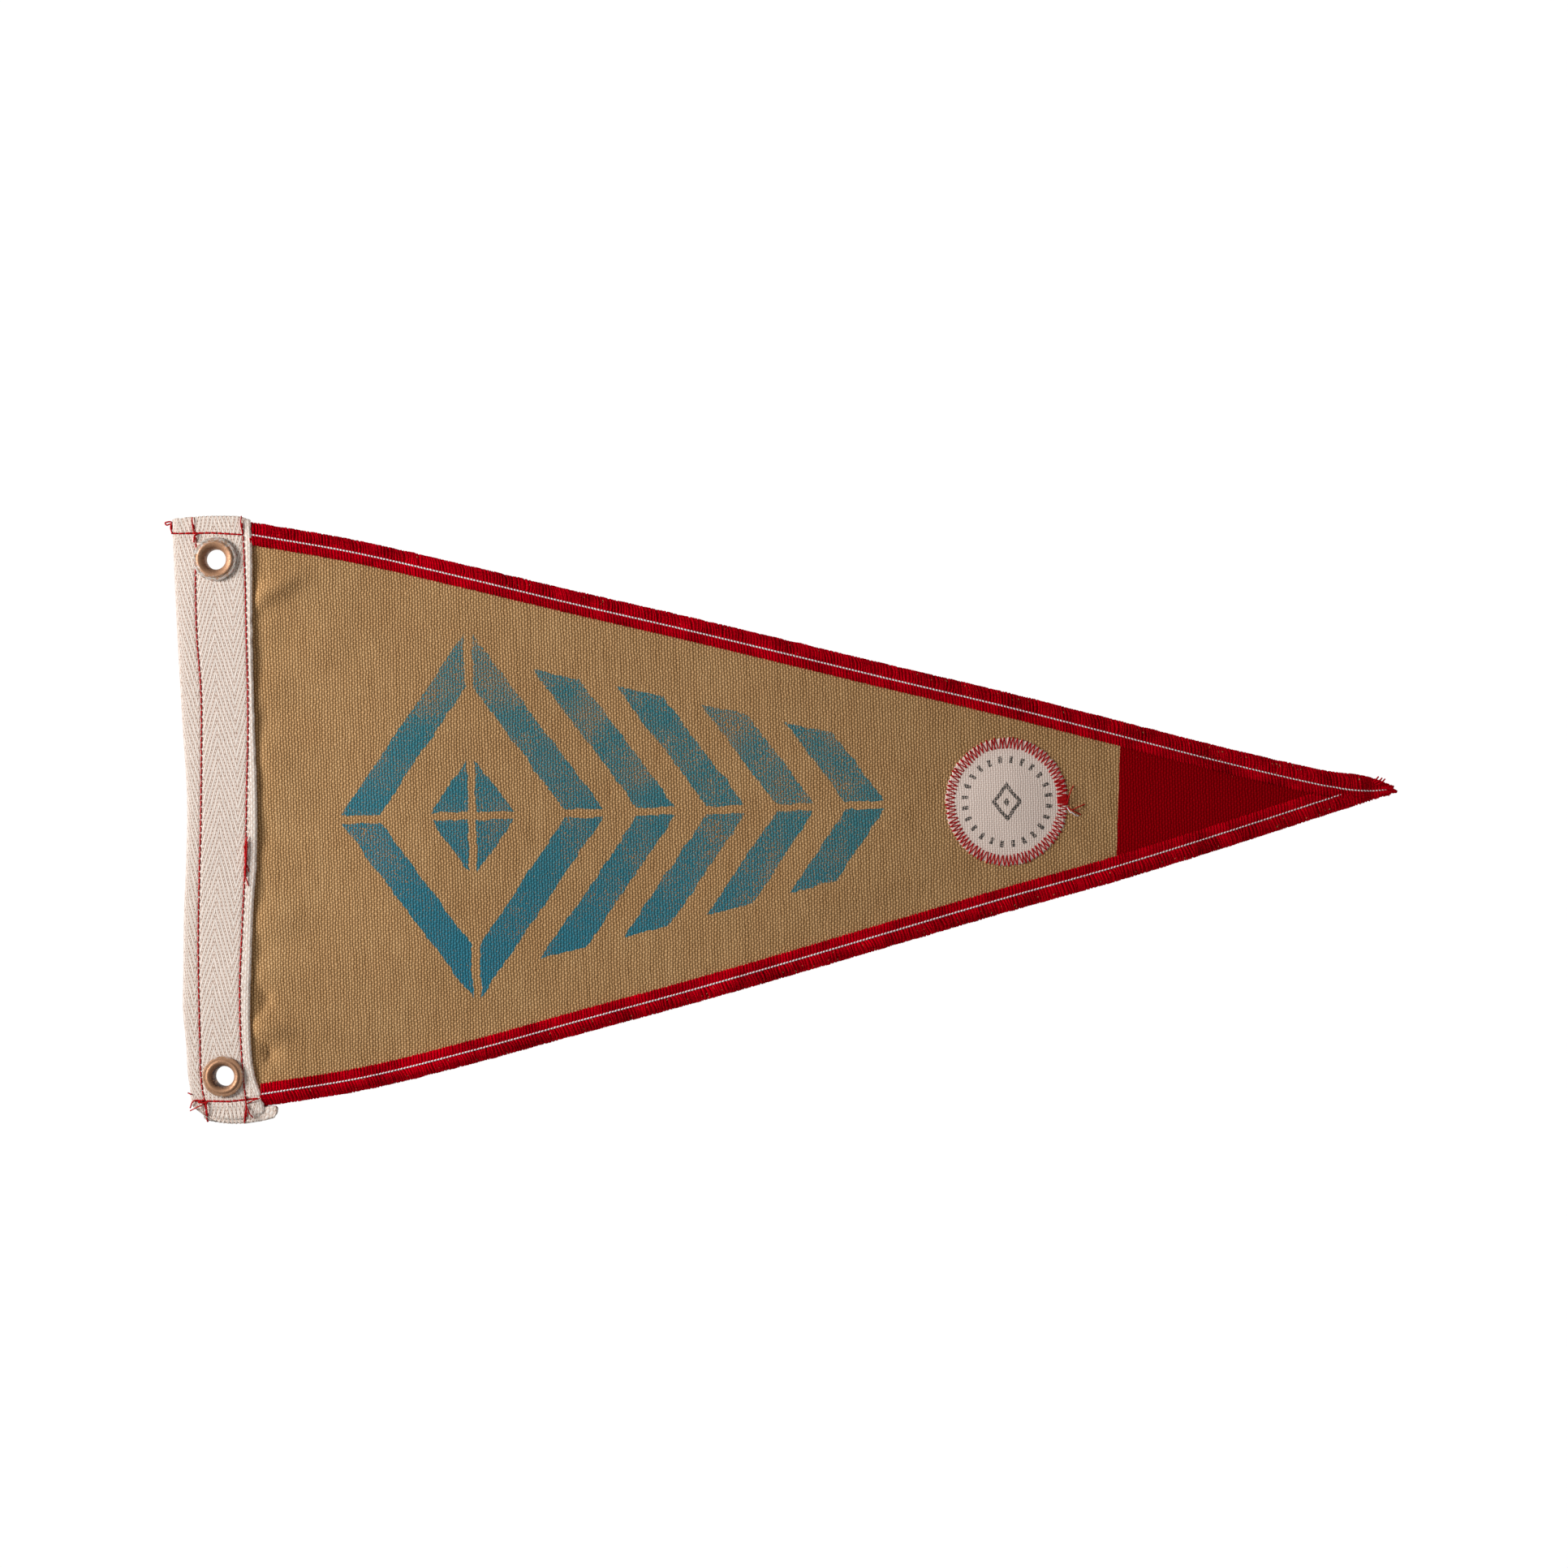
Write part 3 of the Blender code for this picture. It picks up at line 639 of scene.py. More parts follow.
# %% Floor paper
def floor_paper():
    """Seamless white paper, lit a little from within so that it stays pale to its edges."""
    material, shader, add = start_finish("white floor paper", 0.95)
    shader.inputs["Base Color"].default_value = colour("#1c1c1c")
    shader.inputs["Emission Color"].default_value = (1.0, 1.0, 1.0, 1.0)
    shader.inputs["Emission Strength"].default_value = 1.0
    return material


bpy.ops.mesh.primitive_plane_add(size=6.0, location=(0, 0, -0.1 * MM))
floor = bpy.context.object
floor.name = "floor"
floor.data.materials.append(floor_paper())

# %% [markdown]
# ## The canvas
#
# A grid added by one operator is drawn out into the pennant's triangle: each point goes to
# its share of the way from the lower edge to the upper one, at the cloth's own height there.
# Solidify then gives it its millimetre of thickness. The cloth lies still on a table, so its
# low folds are worked out instead of simulated.

# %% Shared grid maker
Grommet = namedtuple("Grommet", "name x y flange_radius washer_radius bright_radius lean grime")
# The last value sets how strong the painted shade in each grommet's throat is.
GROMMETS = [
    Grommet("upper", -211.2, 97.2, 8.2, 7.6, 6.7, 0.2, 0.6),
    Grommet("lower", -213.3, -95.6, 7.6, 8.2, 7.6, 0.7, 1.0),
]
CLOTH_HOLE_RADIUS = 5.5


def cloth_grid(name, columns, rows, place):
    """Adds a grid and moves each point to place(column, row), which answers in millimetres."""
    bpy.ops.object.select_all(action="DESELECT")
    bpy.ops.mesh.primitive_grid_add(x_subdivisions=columns, y_subdivisions=rows, size=1.0)
    piece = bpy.context.object
    piece.name = name
    piece.data.name = name
    for vertex in piece.data.vertices:
        column = round((vertex.co.x + 0.5) * columns)
        row = round((vertex.co.y + 0.5) * rows)
        vertex.co = Vector(place(column, row)) * MM
    return piece


def cut_round_holes(piece, radius):
    """Deletes the faces within the radius of each grommet, where the barrel goes through."""
    only(piece)
    bpy.ops.object.mode_set(mode="EDIT")
    bpy.ops.mesh.select_all(action="DESELECT")
    bpy.ops.object.mode_set(mode="OBJECT")
    for polygon in piece.data.polygons:
        spot = polygon.center / MM
        polygon.select = any(math.hypot(spot.x - g.x, spot.y - g.y) < radius for g in GROMMETS)
    bpy.ops.object.mode_set(mode="EDIT")
    bpy.ops.mesh.select_mode(type="FACE")
    bpy.ops.mesh.delete(type="FACE")
    bpy.ops.object.mode_set(mode="OBJECT")


# %% Draw out the panel
HOIST_X, CANVAS_TIP_X = -219.5, 210.6
HOIST_TOP, HOIST_BOTTOM = 104.3, -103.3
CORNER_X = -193.5
CANVAS_INSET = 1.6
CANVAS_COLUMNS, CANVAS_ROWS = 250, 116


def canvas_point(column, row):
    x = HOIST_X + (CANVAS_TIP_X - HOIST_X) * column / CANVAS_COLUMNS
    t = smoothstep((x - HEADER_EDGE_X) / (CORNER_X - HEADER_EDGE_X))
    edge_x = max(x, EDGES[0].x)
    top = HOIST_TOP + (upper_edge(edge_x) - CANVAS_INSET * SLANT - HOIST_TOP) * t
    bottom = HOIST_BOTTOM + (lower_edge(edge_x) + CANVAS_INSET * SLANT - HOIST_BOTTOM) * t
    y = bottom + (top - bottom) * row / CANVAS_ROWS
    return x, y, canvas_height(x, y)


canvas = cloth_grid("canvas_sheet", CANVAS_COLUMNS, CANVAS_ROWS, canvas_point)
cut_round_holes(canvas, CLOTH_HOLE_RADIUS + 0.9)
canvas.data.materials.append(canvas_front)
canvas.data.materials.append(canvas_back)
apply_modifier(
    canvas, "SOLIDIFY", thickness=CANVAS * MM, offset=0.0, material_offset=1, material_offset_rim=1
)
only(canvas)
bpy.ops.object.shade_smooth()
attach(canvas, "root")
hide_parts("canvas_panel")

# %% [markdown]
# ## Overlocked edges
#
# An overlocker trims the raw edge and wraps it in thread: two looper threads go round the
# edge, and a white needle thread holds them in a line of dots. Nothing but real strands
# looks right from close to, so each is laid as its own thin tube. Tubes are cheap: a curve
# with a round bevel takes hundreds of short splines and becomes one mesh.

# %% Lay many short threads at once
rng = random.Random(7)


def lay_threads(name, routes, thickness, finish, sides=1):
    """One mesh of round threads that lie on or over the table; a point is x, y, z and fatness."""
    curve = bpy.data.curves.new(name, "CURVE")
    curve.dimensions = "3D"
    curve.bevel_depth = thickness / 2 * MM
    curve.bevel_resolution = sides
    curve.use_fill_caps = True
    for route in routes:
        spline = curve.splines.new("POLY")
        spline.points.add(len(route) - 1)
        for point, (x, y, z, fat) in zip(spline.points, route):
            point.co = (x * MM, y * MM, max(z, thickness / 2 * fat) * MM, 1.0)
            point.radius = fat
    piece = bpy.data.objects.new(name, curve)
    scene.collection.objects.link(piece)
    only(piece)
    bpy.ops.object.convert(target="MESH")
    piece = bpy.context.object
    bpy.ops.object.shade_smooth()
    piece.data.materials.append(finish)
    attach(piece, "root")
    print(f"{name}: {len(routes)} threads, {len(piece.data.polygons)} faces")
    return piece


# %% Where the threads of an edge lie
EdgeSide = namedtuple("EdgeSide", "name sign edge start_x needle_end_x end_x lean lean_change")
SIDES = [
    EdgeSide("upper", 1, upper_edge, -198.0, 225.4, 227.2, -0.5, 1.0),
    EdgeSide("lower", -1, lower_edge, -198.9, 207.0, 211.5, 1.5, 0.8),
]
NEEDLE_NEAR_HEADER, NEEDLE_GROWTH = 4.65, 0.0026
INNER_REACH = 3.5
STITCH = 1.15
TIP_START = 199.1
(tip_needle,) = column_curves([(TIP_START, 2.4), (209.1, 0.3), (218.5, -0.4), (226.0, 0.2)])


def needle_inset(side, x):
    """How far the white row lies from the edge, measured up the hoist."""
    inset = (NEEDLE_NEAR_HEADER + NEEDLE_GROWTH * (x + 190.0)) * SLANT
    if side.sign < 0 or x < TIP_START:
        return inset
    blend = smoothstep((x - TIP_START) / 6.0)
    return inset + (upper_edge(x) - tip_needle(x) - inset) * blend


def inner_inset(side, x):
    """How far the loops reach from the edge; past the lower edge's end they close the tip."""
    reach = needle_inset(side, x) + INNER_REACH * SLANT
    width = upper_edge(x) - lower_edge(x)
    if side.sign > 0:
        closing = smoothstep((x - 203.0) / 9.0)
        return reach + (width - 0.5 - reach) * closing
    return min(reach, width - inner_inset(SIDES[0], x) - 0.2)


def bed_height(inset, x):
    """How far the thread stands off the middle of the cloth, at this inset."""
    low = 1.45 - 0.28 * math.exp(-(((inset - needle_inset(SIDES[0], x)) / 0.55) ** 2))
    rim = smoothstep(inset / 2.2)
    return 0.35 + (low - 0.35) * rim


def edge_spot(side, x, inset, height):
    """A point over an overlocked edge; height is measured from the middle of the cloth."""
    y = side.edge(x) - side.sign * inset
    level = band_level(x, y)
    if x > CANVAS_TIP_X:
        sink = smoothstep((x - CANVAS_TIP_X - 2.4) / 5.0)
        level -= 0.65 * sink
        height *= 1.0 - 0.43 * sink
    return x, y, level + height


# %% Strands that wrap the raw edge
OUTER_STRAND, STRANDS = 0.60, 3
INNER_STRAND, INNER_PITCH = 0.58, 0.383
WRAP = [
    (1.02, 0.72), (0.88, 0.98), (0.62, 1.06), (0.42, 1.0), (0.27, 0.82), (0.14, 0.52), (0.04, 0.1),
    (0.05, -0.55), (0.25, -0.88), (0.60, -0.93), (1.10, -0.93), (1.60, -0.93),
]


def outer_route(side, x, ply):
    """One looper strand: from the needle row out over the edge and back underneath."""
    needle = needle_inset(side, x)
    lean = side.lean + side.lean_change * 1.6 * drift(x, 0.0, 11.0, side.sign)
    lean += 1.1 * drift(x, 0.0, 3.0, side.sign + 4.0)
    ragged = 0.22 * drift(x, 0.0, 5.0, side.sign + 8.0) + rng.uniform(-0.05, 0.05)
    bunch = min(max(0.3, 0.6 + 0.9 * drift(x, 0.0, 5.0, side.sign + 2.0)), 0.9)
    lift = rng.uniform(-0.05, 0.05) + (0.12 - 0.24 * abs(ply)) * bunch
    lean += rng.uniform(-0.22, 0.22)
    bow = 0.40 + 1.1 * drift(x, 0.0, 4.2, side.sign + 6.0) + rng.uniform(-0.12, 0.12)
    fat = rng.uniform(0.9, 1.1)
    x -= 0.17 * ply * bunch
    route = []
    for share, high in WRAP:
        inset = needle * share - ragged * (share <= 0.05)
        shift = lean * max(0.0, 1.0 - share) ** 1.3 if high > 0 else lean * (0.95 - 0.5 * share)
        shift += bow * math.sin(math.pi * min(share, 1.0)) * (high > 0)
        along = min(x + shift, side.end_x)
        half_height = bed_height(inset, x) if abs(high) > 0.8 else 1.3
        route.append((*edge_spot(side, along, inset, half_height * high + lift * (high > 0)), fat))
    return route


def inner_route(side, x, turn):
    """One loop leg: from the needle row in over the cloth, ending down on the canvas."""
    needle = needle_inset(side, x)
    tooth = (0.14, -0.10, -0.04)[turn % STRANDS]
    end = inner_inset(side, x) + tooth + rng.uniform(-0.10, 0.10)
    lean = 0.25 * side.sign + 0.6 * drift(x, 3.0, 3.0, side.sign) + rng.uniform(-0.12, 0.12)
    lift = rng.uniform(-0.05, 0.05) + 0.6 * tooth
    fat = 1.0 + 0.5 * tooth + rng.uniform(-0.10, 0.10)
    profile = [(0.0, 1.18), (0.12, 1.40), (0.45, 1.50), (0.78, 1.42), (0.95, 1.12), (1.0, 0.72)]
    if x > CANVAS_TIP_X - 4.0:
        profile = [(0.0, 1.2), (0.2, 1.4), (0.6, 1.45), (0.9, 1.15), (1.02, 0.3), (1.0, -0.9)]
    route = []
    for share, high in profile:
        inset = needle + (end - needle) * share
        route.append((*edge_spot(side, x + lean * share, inset, high + lift), fat))
    return route


def positions(start, end, pitch, jitter):
    """Places along an edge, evenly pitched with a little jitter."""
    count = int((end - start) / pitch)
    return [start + pitch * i + rng.uniform(-jitter, jitter) for i in range(count + 1)]


# %% Bed of packed thread under the strands
BED_STEP = 1.5


def bed_point(side, column, row):
    """The bed's section is a hook: over the canvas, round its edge and back under it."""
    span = side.end_x - 1.0 - side.start_x
    x = side.start_x + span * column / round(span / BED_STEP)
    inner = inner_inset(side, x) - 0.5
    ring = [(1.0, 0.62), (0.98, 0.9), (0.8, 1.05), (0.5, 0.9), (0.3, 1.05), (0.12, 0.7), (0.025, 0.0)]
    ring += [(0.12, -0.9), (0.5, -1.2), (1.0, -1.2), (1.0, -0.62), (0.25, -0.62), (0.25, 0.62)]
    share, high = ring[row % len(ring)]
    return edge_spot(side, x, inner * share, high)


def thread_bed(side):
    span = side.end_x - 1.0 - side.start_x
    bed = cloth_grid("bed_" + side.name, round(span / BED_STEP), 13, partial(bed_point, side))
    only(bed)
    weld(1e-6, fill=True)
    bed.data.materials.append(overlock_finish)
    return bed


# %% Sew both edges
for side in SIDES:
    lead = min(max(side.lean, 0.0), 0.6)
    places = positions(side.start_x - lead, side.end_x - 0.9, STITCH, 0.08)
    strands = lay_threads(
        f"edge_wrap_{side.name}",
        [outer_route(side, x + ply * STITCH / STRANDS, ply) for x in places for ply in (-1, 0, 1)],
        OUTER_STRAND,
        overlock_finish,
    )
    bed = thread_bed(side)
    only(strands)
    bed.select_set(True)
    bpy.ops.object.join()
    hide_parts(f"overlock_edge_{side.name}")
    places = positions(side.start_x, side.end_x - 1.5, INNER_PITCH, 0.05)
    loops = lay_threads(
        f"edge_loops_{side.name}",
        [inner_route(side, x, turn) for turn, x in enumerate(places)],
        INNER_STRAND,
        overlock_finish,
    )

# %% White needle rows, on the face and on the back
NEEDLE_THREAD = 0.70


def needle_route(side, x, face):
    """One visible needle stitch: a short bead that dives at both ends."""
    length = 0.45 + rng.uniform(-0.06, 0.04)
    slim = 1.0 - 0.2 * smoothstep((x - 60.0) / 120.0)
    skew = 0.10 * face + rng.uniform(-0.12, 0.12)
    high = 1.53 if face > 0 else 1.40
    route = []
    for share, dip, fat in ((-1.0, 0.3, 0.55), (-0.5, 0.02, 1.0), (0.5, 0.0, 1.05), (1.0, 0.3, 0.6)):
        at = x + share * length
        inset = needle_inset(side, at) + skew * share
        route.append((*edge_spot(side, at, inset, face * (high - dip)), fat * slim))
    return route


for side in SIDES:
    places = positions(side.start_x + 0.4, side.needle_end_x, STITCH, 0.05)
    stitches = [needle_route(side, x, face) for x in places for face in (1, -1)]
    row = lay_threads(f"needle_row_{side.name}", stitches, NEEDLE_THREAD, needle_finish)

# %% [markdown]
# ## Header tape
#
# One length of tape is folded over the hoist edge, with its ends turned in, so it is two
# leaves joined by a fold and four leaves thick at each end. Its section is a closed outline
# of many short steps, closer together at the two seams, where the stitches pull the cloth
# into a groove. The outline is swept along the hoist on a grid whose two sides are welded.

# %% Seam lines down the header
SeamRow = namedtuple("SeamRow", "y first second")
SEAMS = [SeamRow(*row) for row in (
    (-113.0, -219.6, -205.5), (-106.0, -220.2, -204.9), (-97.0, -221.4, -205.7), (-82.0, -221.5, -206.3),
    (-63.0, -221.5, -206.2), (-44.0, -221.3, -205.1), (-20.0, -220.3, -203.4), (-4.0, -219.4, -202.5),
    (14.0, -218.7, -201.7), (30.0, -218.2, -200.9), (48.0, -217.8, -200.4), (68.0, -218.7, -200.3),
    (88.0, -218.7, -200.2), (106.0, -218.2, -200.5), (112.5, -219.3, -200.8),
)]
first_seam, second_seam = column_curves(SEAMS)
SEAM_STITCH = 2.4
END_SEAMS = {"top": ((-227.2, 107.2), (-212.0, 107.0), (-198.4, 105.9)),
             "bottom": ((-224.9, -104.4), (-211.0, -105.0), (-199.2, -104.0))}

# %% Thickness and fullness of the tape
TOP_HEM = (104.8, 107.4)
BOTTOM_HEM = (-103.8, -106.4)
HEM_LEAF = 2 * TAPE - 0.05
HEM_SLOT = GAP / 2
TAPE_END_TOP, TAPE_END_BOTTOM = 113.4, -113.4
CRIMP_PITCH = 1.55


def leaf_heights(y):
    """Half the slot, and one leaf's thickness, at this place along the hoist."""
    start, end = TOP_HEM if y > 0 else BOTTOM_HEM
    hem = smoothstep((y - start) / (end - start))
    half = HALF + (HEM_SLOT - HALF) * hem
    leaf = TAPE + (HEM_LEAF - TAPE) * hem
    tip = TAPE_END_TOP if y > 0 else TAPE_END_BOTTOM
    rounding = (1.0 - smoothstep(abs(tip - y) / 0.8)) ** 2
    return half + 0.35 * rounding, leaf - 0.95 * rounding


def groove(x, y):
    """How deep the seams pull the tape in at this place."""
    depth = 0.0
    for line in (first_seam(y), second_seam(y)):
        hole = 0.5 + 0.5 * math.cos(2 * math.pi * y / SEAM_STITCH)
        depth += (0.16 + 0.20 * hole) * math.exp(-(((x - line) / 0.42) ** 2))
    for spots in END_SEAMS.values():
        if abs(y - spots[1][1]) < 3.0:
            line = seam_y(spots, x)
            hole = 0.5 + 0.5 * math.cos(2 * math.pi * x / SEAM_STITCH)
            depth += (0.18 + 0.18 * hole) * math.exp(-(((y - line) / 0.42) ** 2))
    return min(depth, 0.45)


def seam_y(spots, x):
    """An end seam is a line through three points; this is its place at x."""
    (x0, y0), (x1, y1), (x2, y2) = spots
    if x < x1:
        return y0 + (y1 - y0) * (x - x0) / (x1 - x0)
    return y1 + (y2 - y1) * (x - x1) / (x2 - x1)


(leaf_end,) = column_curves(
    [(-227.0, -104.0), (-221.0, -108.3), (-216.0, -110.8), (-203.0, -111.1), (-196.0, -109.5)]
)


def tape_swell(x, y):
    """Small unevenness of the tape's surface, and the step down to the rolled back leaf."""
    ends = smoothstep((abs(y) - 103.0) / 4.0)
    crimp = 0.10 * ends * math.sin(2 * math.pi * x / CRIMP_PITCH + 2.0 * drift(x, y, 9.0))
    roll = -0.7 * smoothstep((leaf_end(x) - y) / 0.5)
    return 0.14 * drift(x, y, 14.0, 1.0) + 0.06 * drift(x, y, 3.0, 2.0) + crimp + roll


# %% Stations across the tape
def spread(start, end, count):
    """Evenly spaced values from start, leaving out the end."""
    return [start + (end - start) * i / count for i in range(count)]


def face_stations(edge, seam_b, seam_a, fold):
    """X places from the tape's free edge to its fold, close together at the two seams."""
    steps = (-0.7, -0.35, 0.0, 0.35, 0.7)
    places = [edge - 0.02, edge - 0.2, edge - 0.55]
    places += spread(edge - 0.9, seam_b + 0.9, 2)
    places += [seam_b - step for step in steps]
    places += spread(seam_b - 1.2, seam_a + 1.0, 28)
    places += [seam_a - step for step in steps]
    places += spread(seam_a - 1.1, fold + 1.5, 5)
    return places


FOLD_STEPS = 8
FOLD_REACH, FOLD_CLOTH = 1.5, 2.6
TAPE_ROWS = 590
EDGE_DROP = (0.60, 0.26, 0.08)


def tape_outline(y):
    """The closed outline at y, as (x, height from the middle, distance across the cloth)."""
    half, leaf = leaf_heights(y)
    top = half + leaf
    fold, front, back = fold_x(y), front_x(y), back_x(y)
    scallop = 0.16 * abs(math.sin(math.pi * y / TAPE_PICK)) + 0.22 * drift(0.0, y, 4.0, 8.0)
    seam_a, seam_b = first_seam(y), second_seam(y)
    outline = []
    for i, x in enumerate(face_stations(front + scallop, seam_b, seam_a, fold)):
        drop = EDGE_DROP[i] if i < len(EDGE_DROP) else 0.0
        outline.append([x, top - drop - groove(x, y) + tape_swell(x, y), front - x])
    width = front - fold
    for i in range(1, FOLD_STEPS):
        angle = math.pi * i / FOLD_STEPS
        x = fold + FOLD_REACH * (1 - math.sin(angle)) ** 1.15
        outline.append([x, top * math.cos(angle), width + FOLD_CLOTH * i / FOLD_STEPS])
    under = face_stations(back - scallop, seam_b, seam_a, fold)
    for i, x in reversed(list(enumerate(under))):
        drop = EDGE_DROP[i] if i < len(EDGE_DROP) else 0.0
        depth = 0.7 * groove(x, y)
        outline.append([x, -(top - drop - depth), 2 * width + FOLD_CLOTH - (front - x)])
    inner_fold = fold + 1.8
    tail = smoothstep((back - front - 0.8) / 2.0) * (y < -107.0)
    root = max(back - 6.0, front + 0.35) if tail else back - 6.0
    for share in (0.0, 0.06, 0.2, 0.5, 0.8, 0.94, 1.0):
        x = back - 0.35 + (root - back + 0.35) * share
        outline.append([x, 1.5 * tail - half, 0.65 * (x - front) if tail else 2 * width])
    outline += [[x, -half, 2 * width] for x in (inner_fold + 4.0, inner_fold)]
    outline += [[x, half, 2.0] for x in (inner_fold, inner_fold + 4.0, front - 6.0, front - 0.35)]
    return outline


# %% Sweep the tape
tape_rows = []
for row in range(TAPE_ROWS + 1):
    y = TAPE_END_BOTTOM + (TAPE_END_TOP - TAPE_END_BOTTOM) * row / TAPE_ROWS
    tape_rows.append((y, tape_outline(y)))
TAPE_COLUMNS = len(tape_rows[0][1])


def tape_point(column, row):
    """Place of one grid point; the ends bow outwards a little and are knobbly with weft."""
    y, outline = tape_rows[row]
    x, high, _ = outline[column % TAPE_COLUMNS]
    fold, front = fold_x(y), front_x(y)
    off_centre = (x - (fold + front) / 2) / ((front - fold) / 2)
    end = smoothstep((abs(y) - 96.0) / 14.0) * (1 if y > 0 else -1)
    knobs = 0.22 * smoothstep((abs(y) - 111.6) / 1.6) * math.sin(2 * math.pi * x / CRIMP_PITCH)
    bow = 0.9 * off_centre**2 + smoothstep((off_centre - 0.7) / 0.3) * (y > 0) - knobs
    return x, y - bow * end, header_level(y) + high


tape = cloth_grid("folded_tape", TAPE_COLUMNS, TAPE_ROWS, tape_point)
cloth_place = tape.data.attributes.new("tape_mm", "FLOAT_VECTOR", "POINT")
for vertex in tape.data.vertices:
    row, column = divmod(vertex.index, TAPE_COLUMNS + 1)
    y, outline = tape_rows[row]
    x, _, distance = outline[column % TAPE_COLUMNS]
    # The third value marks the turn of the fold, where the tape's colour holds painted shade.
    wear_and_painted_fold_shade = smoothstep((fold_x(y) + FOLD_REACH - x) / FOLD_REACH)
    cloth_place.data[vertex.index].vector = (distance, y, wear_and_painted_fold_shade)
only(tape)
weld(1e-7, fill=True)
print(f"tape: {len(tape.data.polygons)} faces")

# %% Punch the tape for the grommets
for grommet in GROMMETS:
    bpy.ops.object.select_all(action="DESELECT")
    bpy.ops.mesh.primitive_cylinder_add(
        vertices=48,
        radius=CLOTH_HOLE_RADIUS * MM,
        depth=20 * MM,
        location=(grommet.x * MM, grommet.y * MM, GROMMET_LEVEL * MM),
    )
    punch = bpy.context.object
    apply_modifier(tape, "BOOLEAN", operation="DIFFERENCE", solver="EXACT", object=punch)
    bpy.data.objects.remove(punch)
tape.data.materials.clear()
tape.data.materials.append(tape_finish)
only(tape)
bpy.ops.object.shade_smooth()
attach(tape, "root")
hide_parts("header_tape")


# %% [markdown]
# ## Grommets
#
# A grommet is an eyelet and a washer, stamped and then set on each other through the cloth.
# Both are round, so each is half a section spun about its axis with the spin operator.

# %% Spin the eyelets and washers
BORE_RADIUS = 3.75
BARREL_RADIUS = 4.1


def eyelet_section(flange_radius):
    """The throat's flare, the domed crown, the flange's rolled rim and the barrel."""
    cloth = FLANGE_TOP - 1.3
    crown = flange_radius - 1.95
    flare = crown - BORE_RADIUS
    throat = [
        (BORE_RADIUS + flare * t**2.1, FLANGE_TOP - 3.4 * (1 - t) ** 1.45 - 0.02)
        for t in (0.0, 0.15, 0.3, 0.45, 0.6, 0.72, 0.83, 0.92)
    ]
    steps = ((0.0, 0.0), (0.3, 0.10), (0.5, 0.34), (0.7, 0.48), (1.0, 0.46), (1.7, 0.48))
    steps += ((1.84, 0.56), (1.91, 0.75), (1.93, 1.12))
    dome = [(crown + out, FLANGE_TOP - down) for out, down in steps]
    under = [(flange_radius - 0.02, cloth + 0.1), (flange_radius - 0.25, cloth), (5.2, cloth)]
    barrel = [(4.85, cloth - 0.6), (4.4, cloth - 1.6), (BARREL_RADIUS, cloth - 2.8), (BARREL_RADIUS, 0.5)]
    rolled = [(4.4, 0.32), (5.0, 0.25), (5.1, 0.08), (4.7, 0.0), (4.1, 0.0), (3.85, 0.1)]
    return [(BORE_RADIUS, 0.35)] + throat + dome + under + barrel + rolled


def washer_section(washer_radius):
    """A domed ring, hollowed for the rolled end of the barrel."""
    cloth = GROMMET_LEVEL - HEADER_LEVEL - GAP
    return [
        (4.4, cloth), (4.4, 0.68), (5.3, 0.60), (5.8, 0.2), (6.2, 0.02),
        (washer_radius - 0.8, 0.02), (washer_radius - 0.3, 0.2), (washer_radius - 0.05, 0.5),
        (washer_radius, cloth),
    ]


def spun(name, section, grommet, finish):
    """Spins a closed section about the grommet's axis."""
    mesh = bpy.data.meshes.new(name)
    count = len(section)
    corners = [((grommet.x + r) * MM, grommet.y * MM, z * MM) for r, z in section]
    mesh.from_pydata(corners, [(i, (i + 1) % count) for i in range(count)], [])
    piece = bpy.data.objects.new(name, mesh)
    scene.collection.objects.link(piece)
    only(piece)
    bpy.ops.object.mode_set(mode="EDIT")
    bpy.ops.mesh.select_all(action="SELECT")
    bpy.ops.mesh.spin(
        steps=96, angle=2 * math.pi, center=(grommet.x * MM, grommet.y * MM, 0), axis=(0, 0, 1)
    )
    weld(1e-6)
    bpy.ops.object.shade_smooth_by_angle(angle=math.radians(40))
    for vertex in mesh.vertices:
        vertex.co.x += grommet.lean * (1 - vertex.co.z / (FLANGE_TOP * MM)) * MM
    mesh.materials.append(finish)
    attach(piece, "root")
    return piece


for grommet in GROMMETS:
    centre = (grommet.x, grommet.y)
    finish = aged_brass("aged brass, " + grommet.name, centre, grommet.bright_radius, grommet.grime)
    eyelet = spun("eyelet_" + grommet.name, eyelet_section(grommet.flange_radius), grommet, finish)
    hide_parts("grommet_" + grommet.name)
    washer = spun("set_washer_" + grommet.name, washer_section(grommet.washer_radius), grommet, finish)
    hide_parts("washer_" + grommet.name)

# %% [markdown]
# ## Seam stitches
#
# A lockstitch seam is a row of short straight threads, each between two needle holes. They
# lie in the groove that they have pulled into the tape, on its face and on its back.

# %% Lockstitch along the header's seams
SEAM_THREAD = 0.48
STITCH_RISE = ((0.0, -0.30), (0.12, 0.04), (0.35, 0.15), (0.65, 0.15), (0.9, 0.04), (1.0, -0.30))


def tape_top(x, y, face):
    """Height of the tape's surface, on its face or its back."""
    half, leaf = leaf_heights(y)
    swell = tape_swell(x, y) if face > 0 else 0.0
    return header_level(y) + swell + face * (half + leaf - 0.7 * groove(x, y))


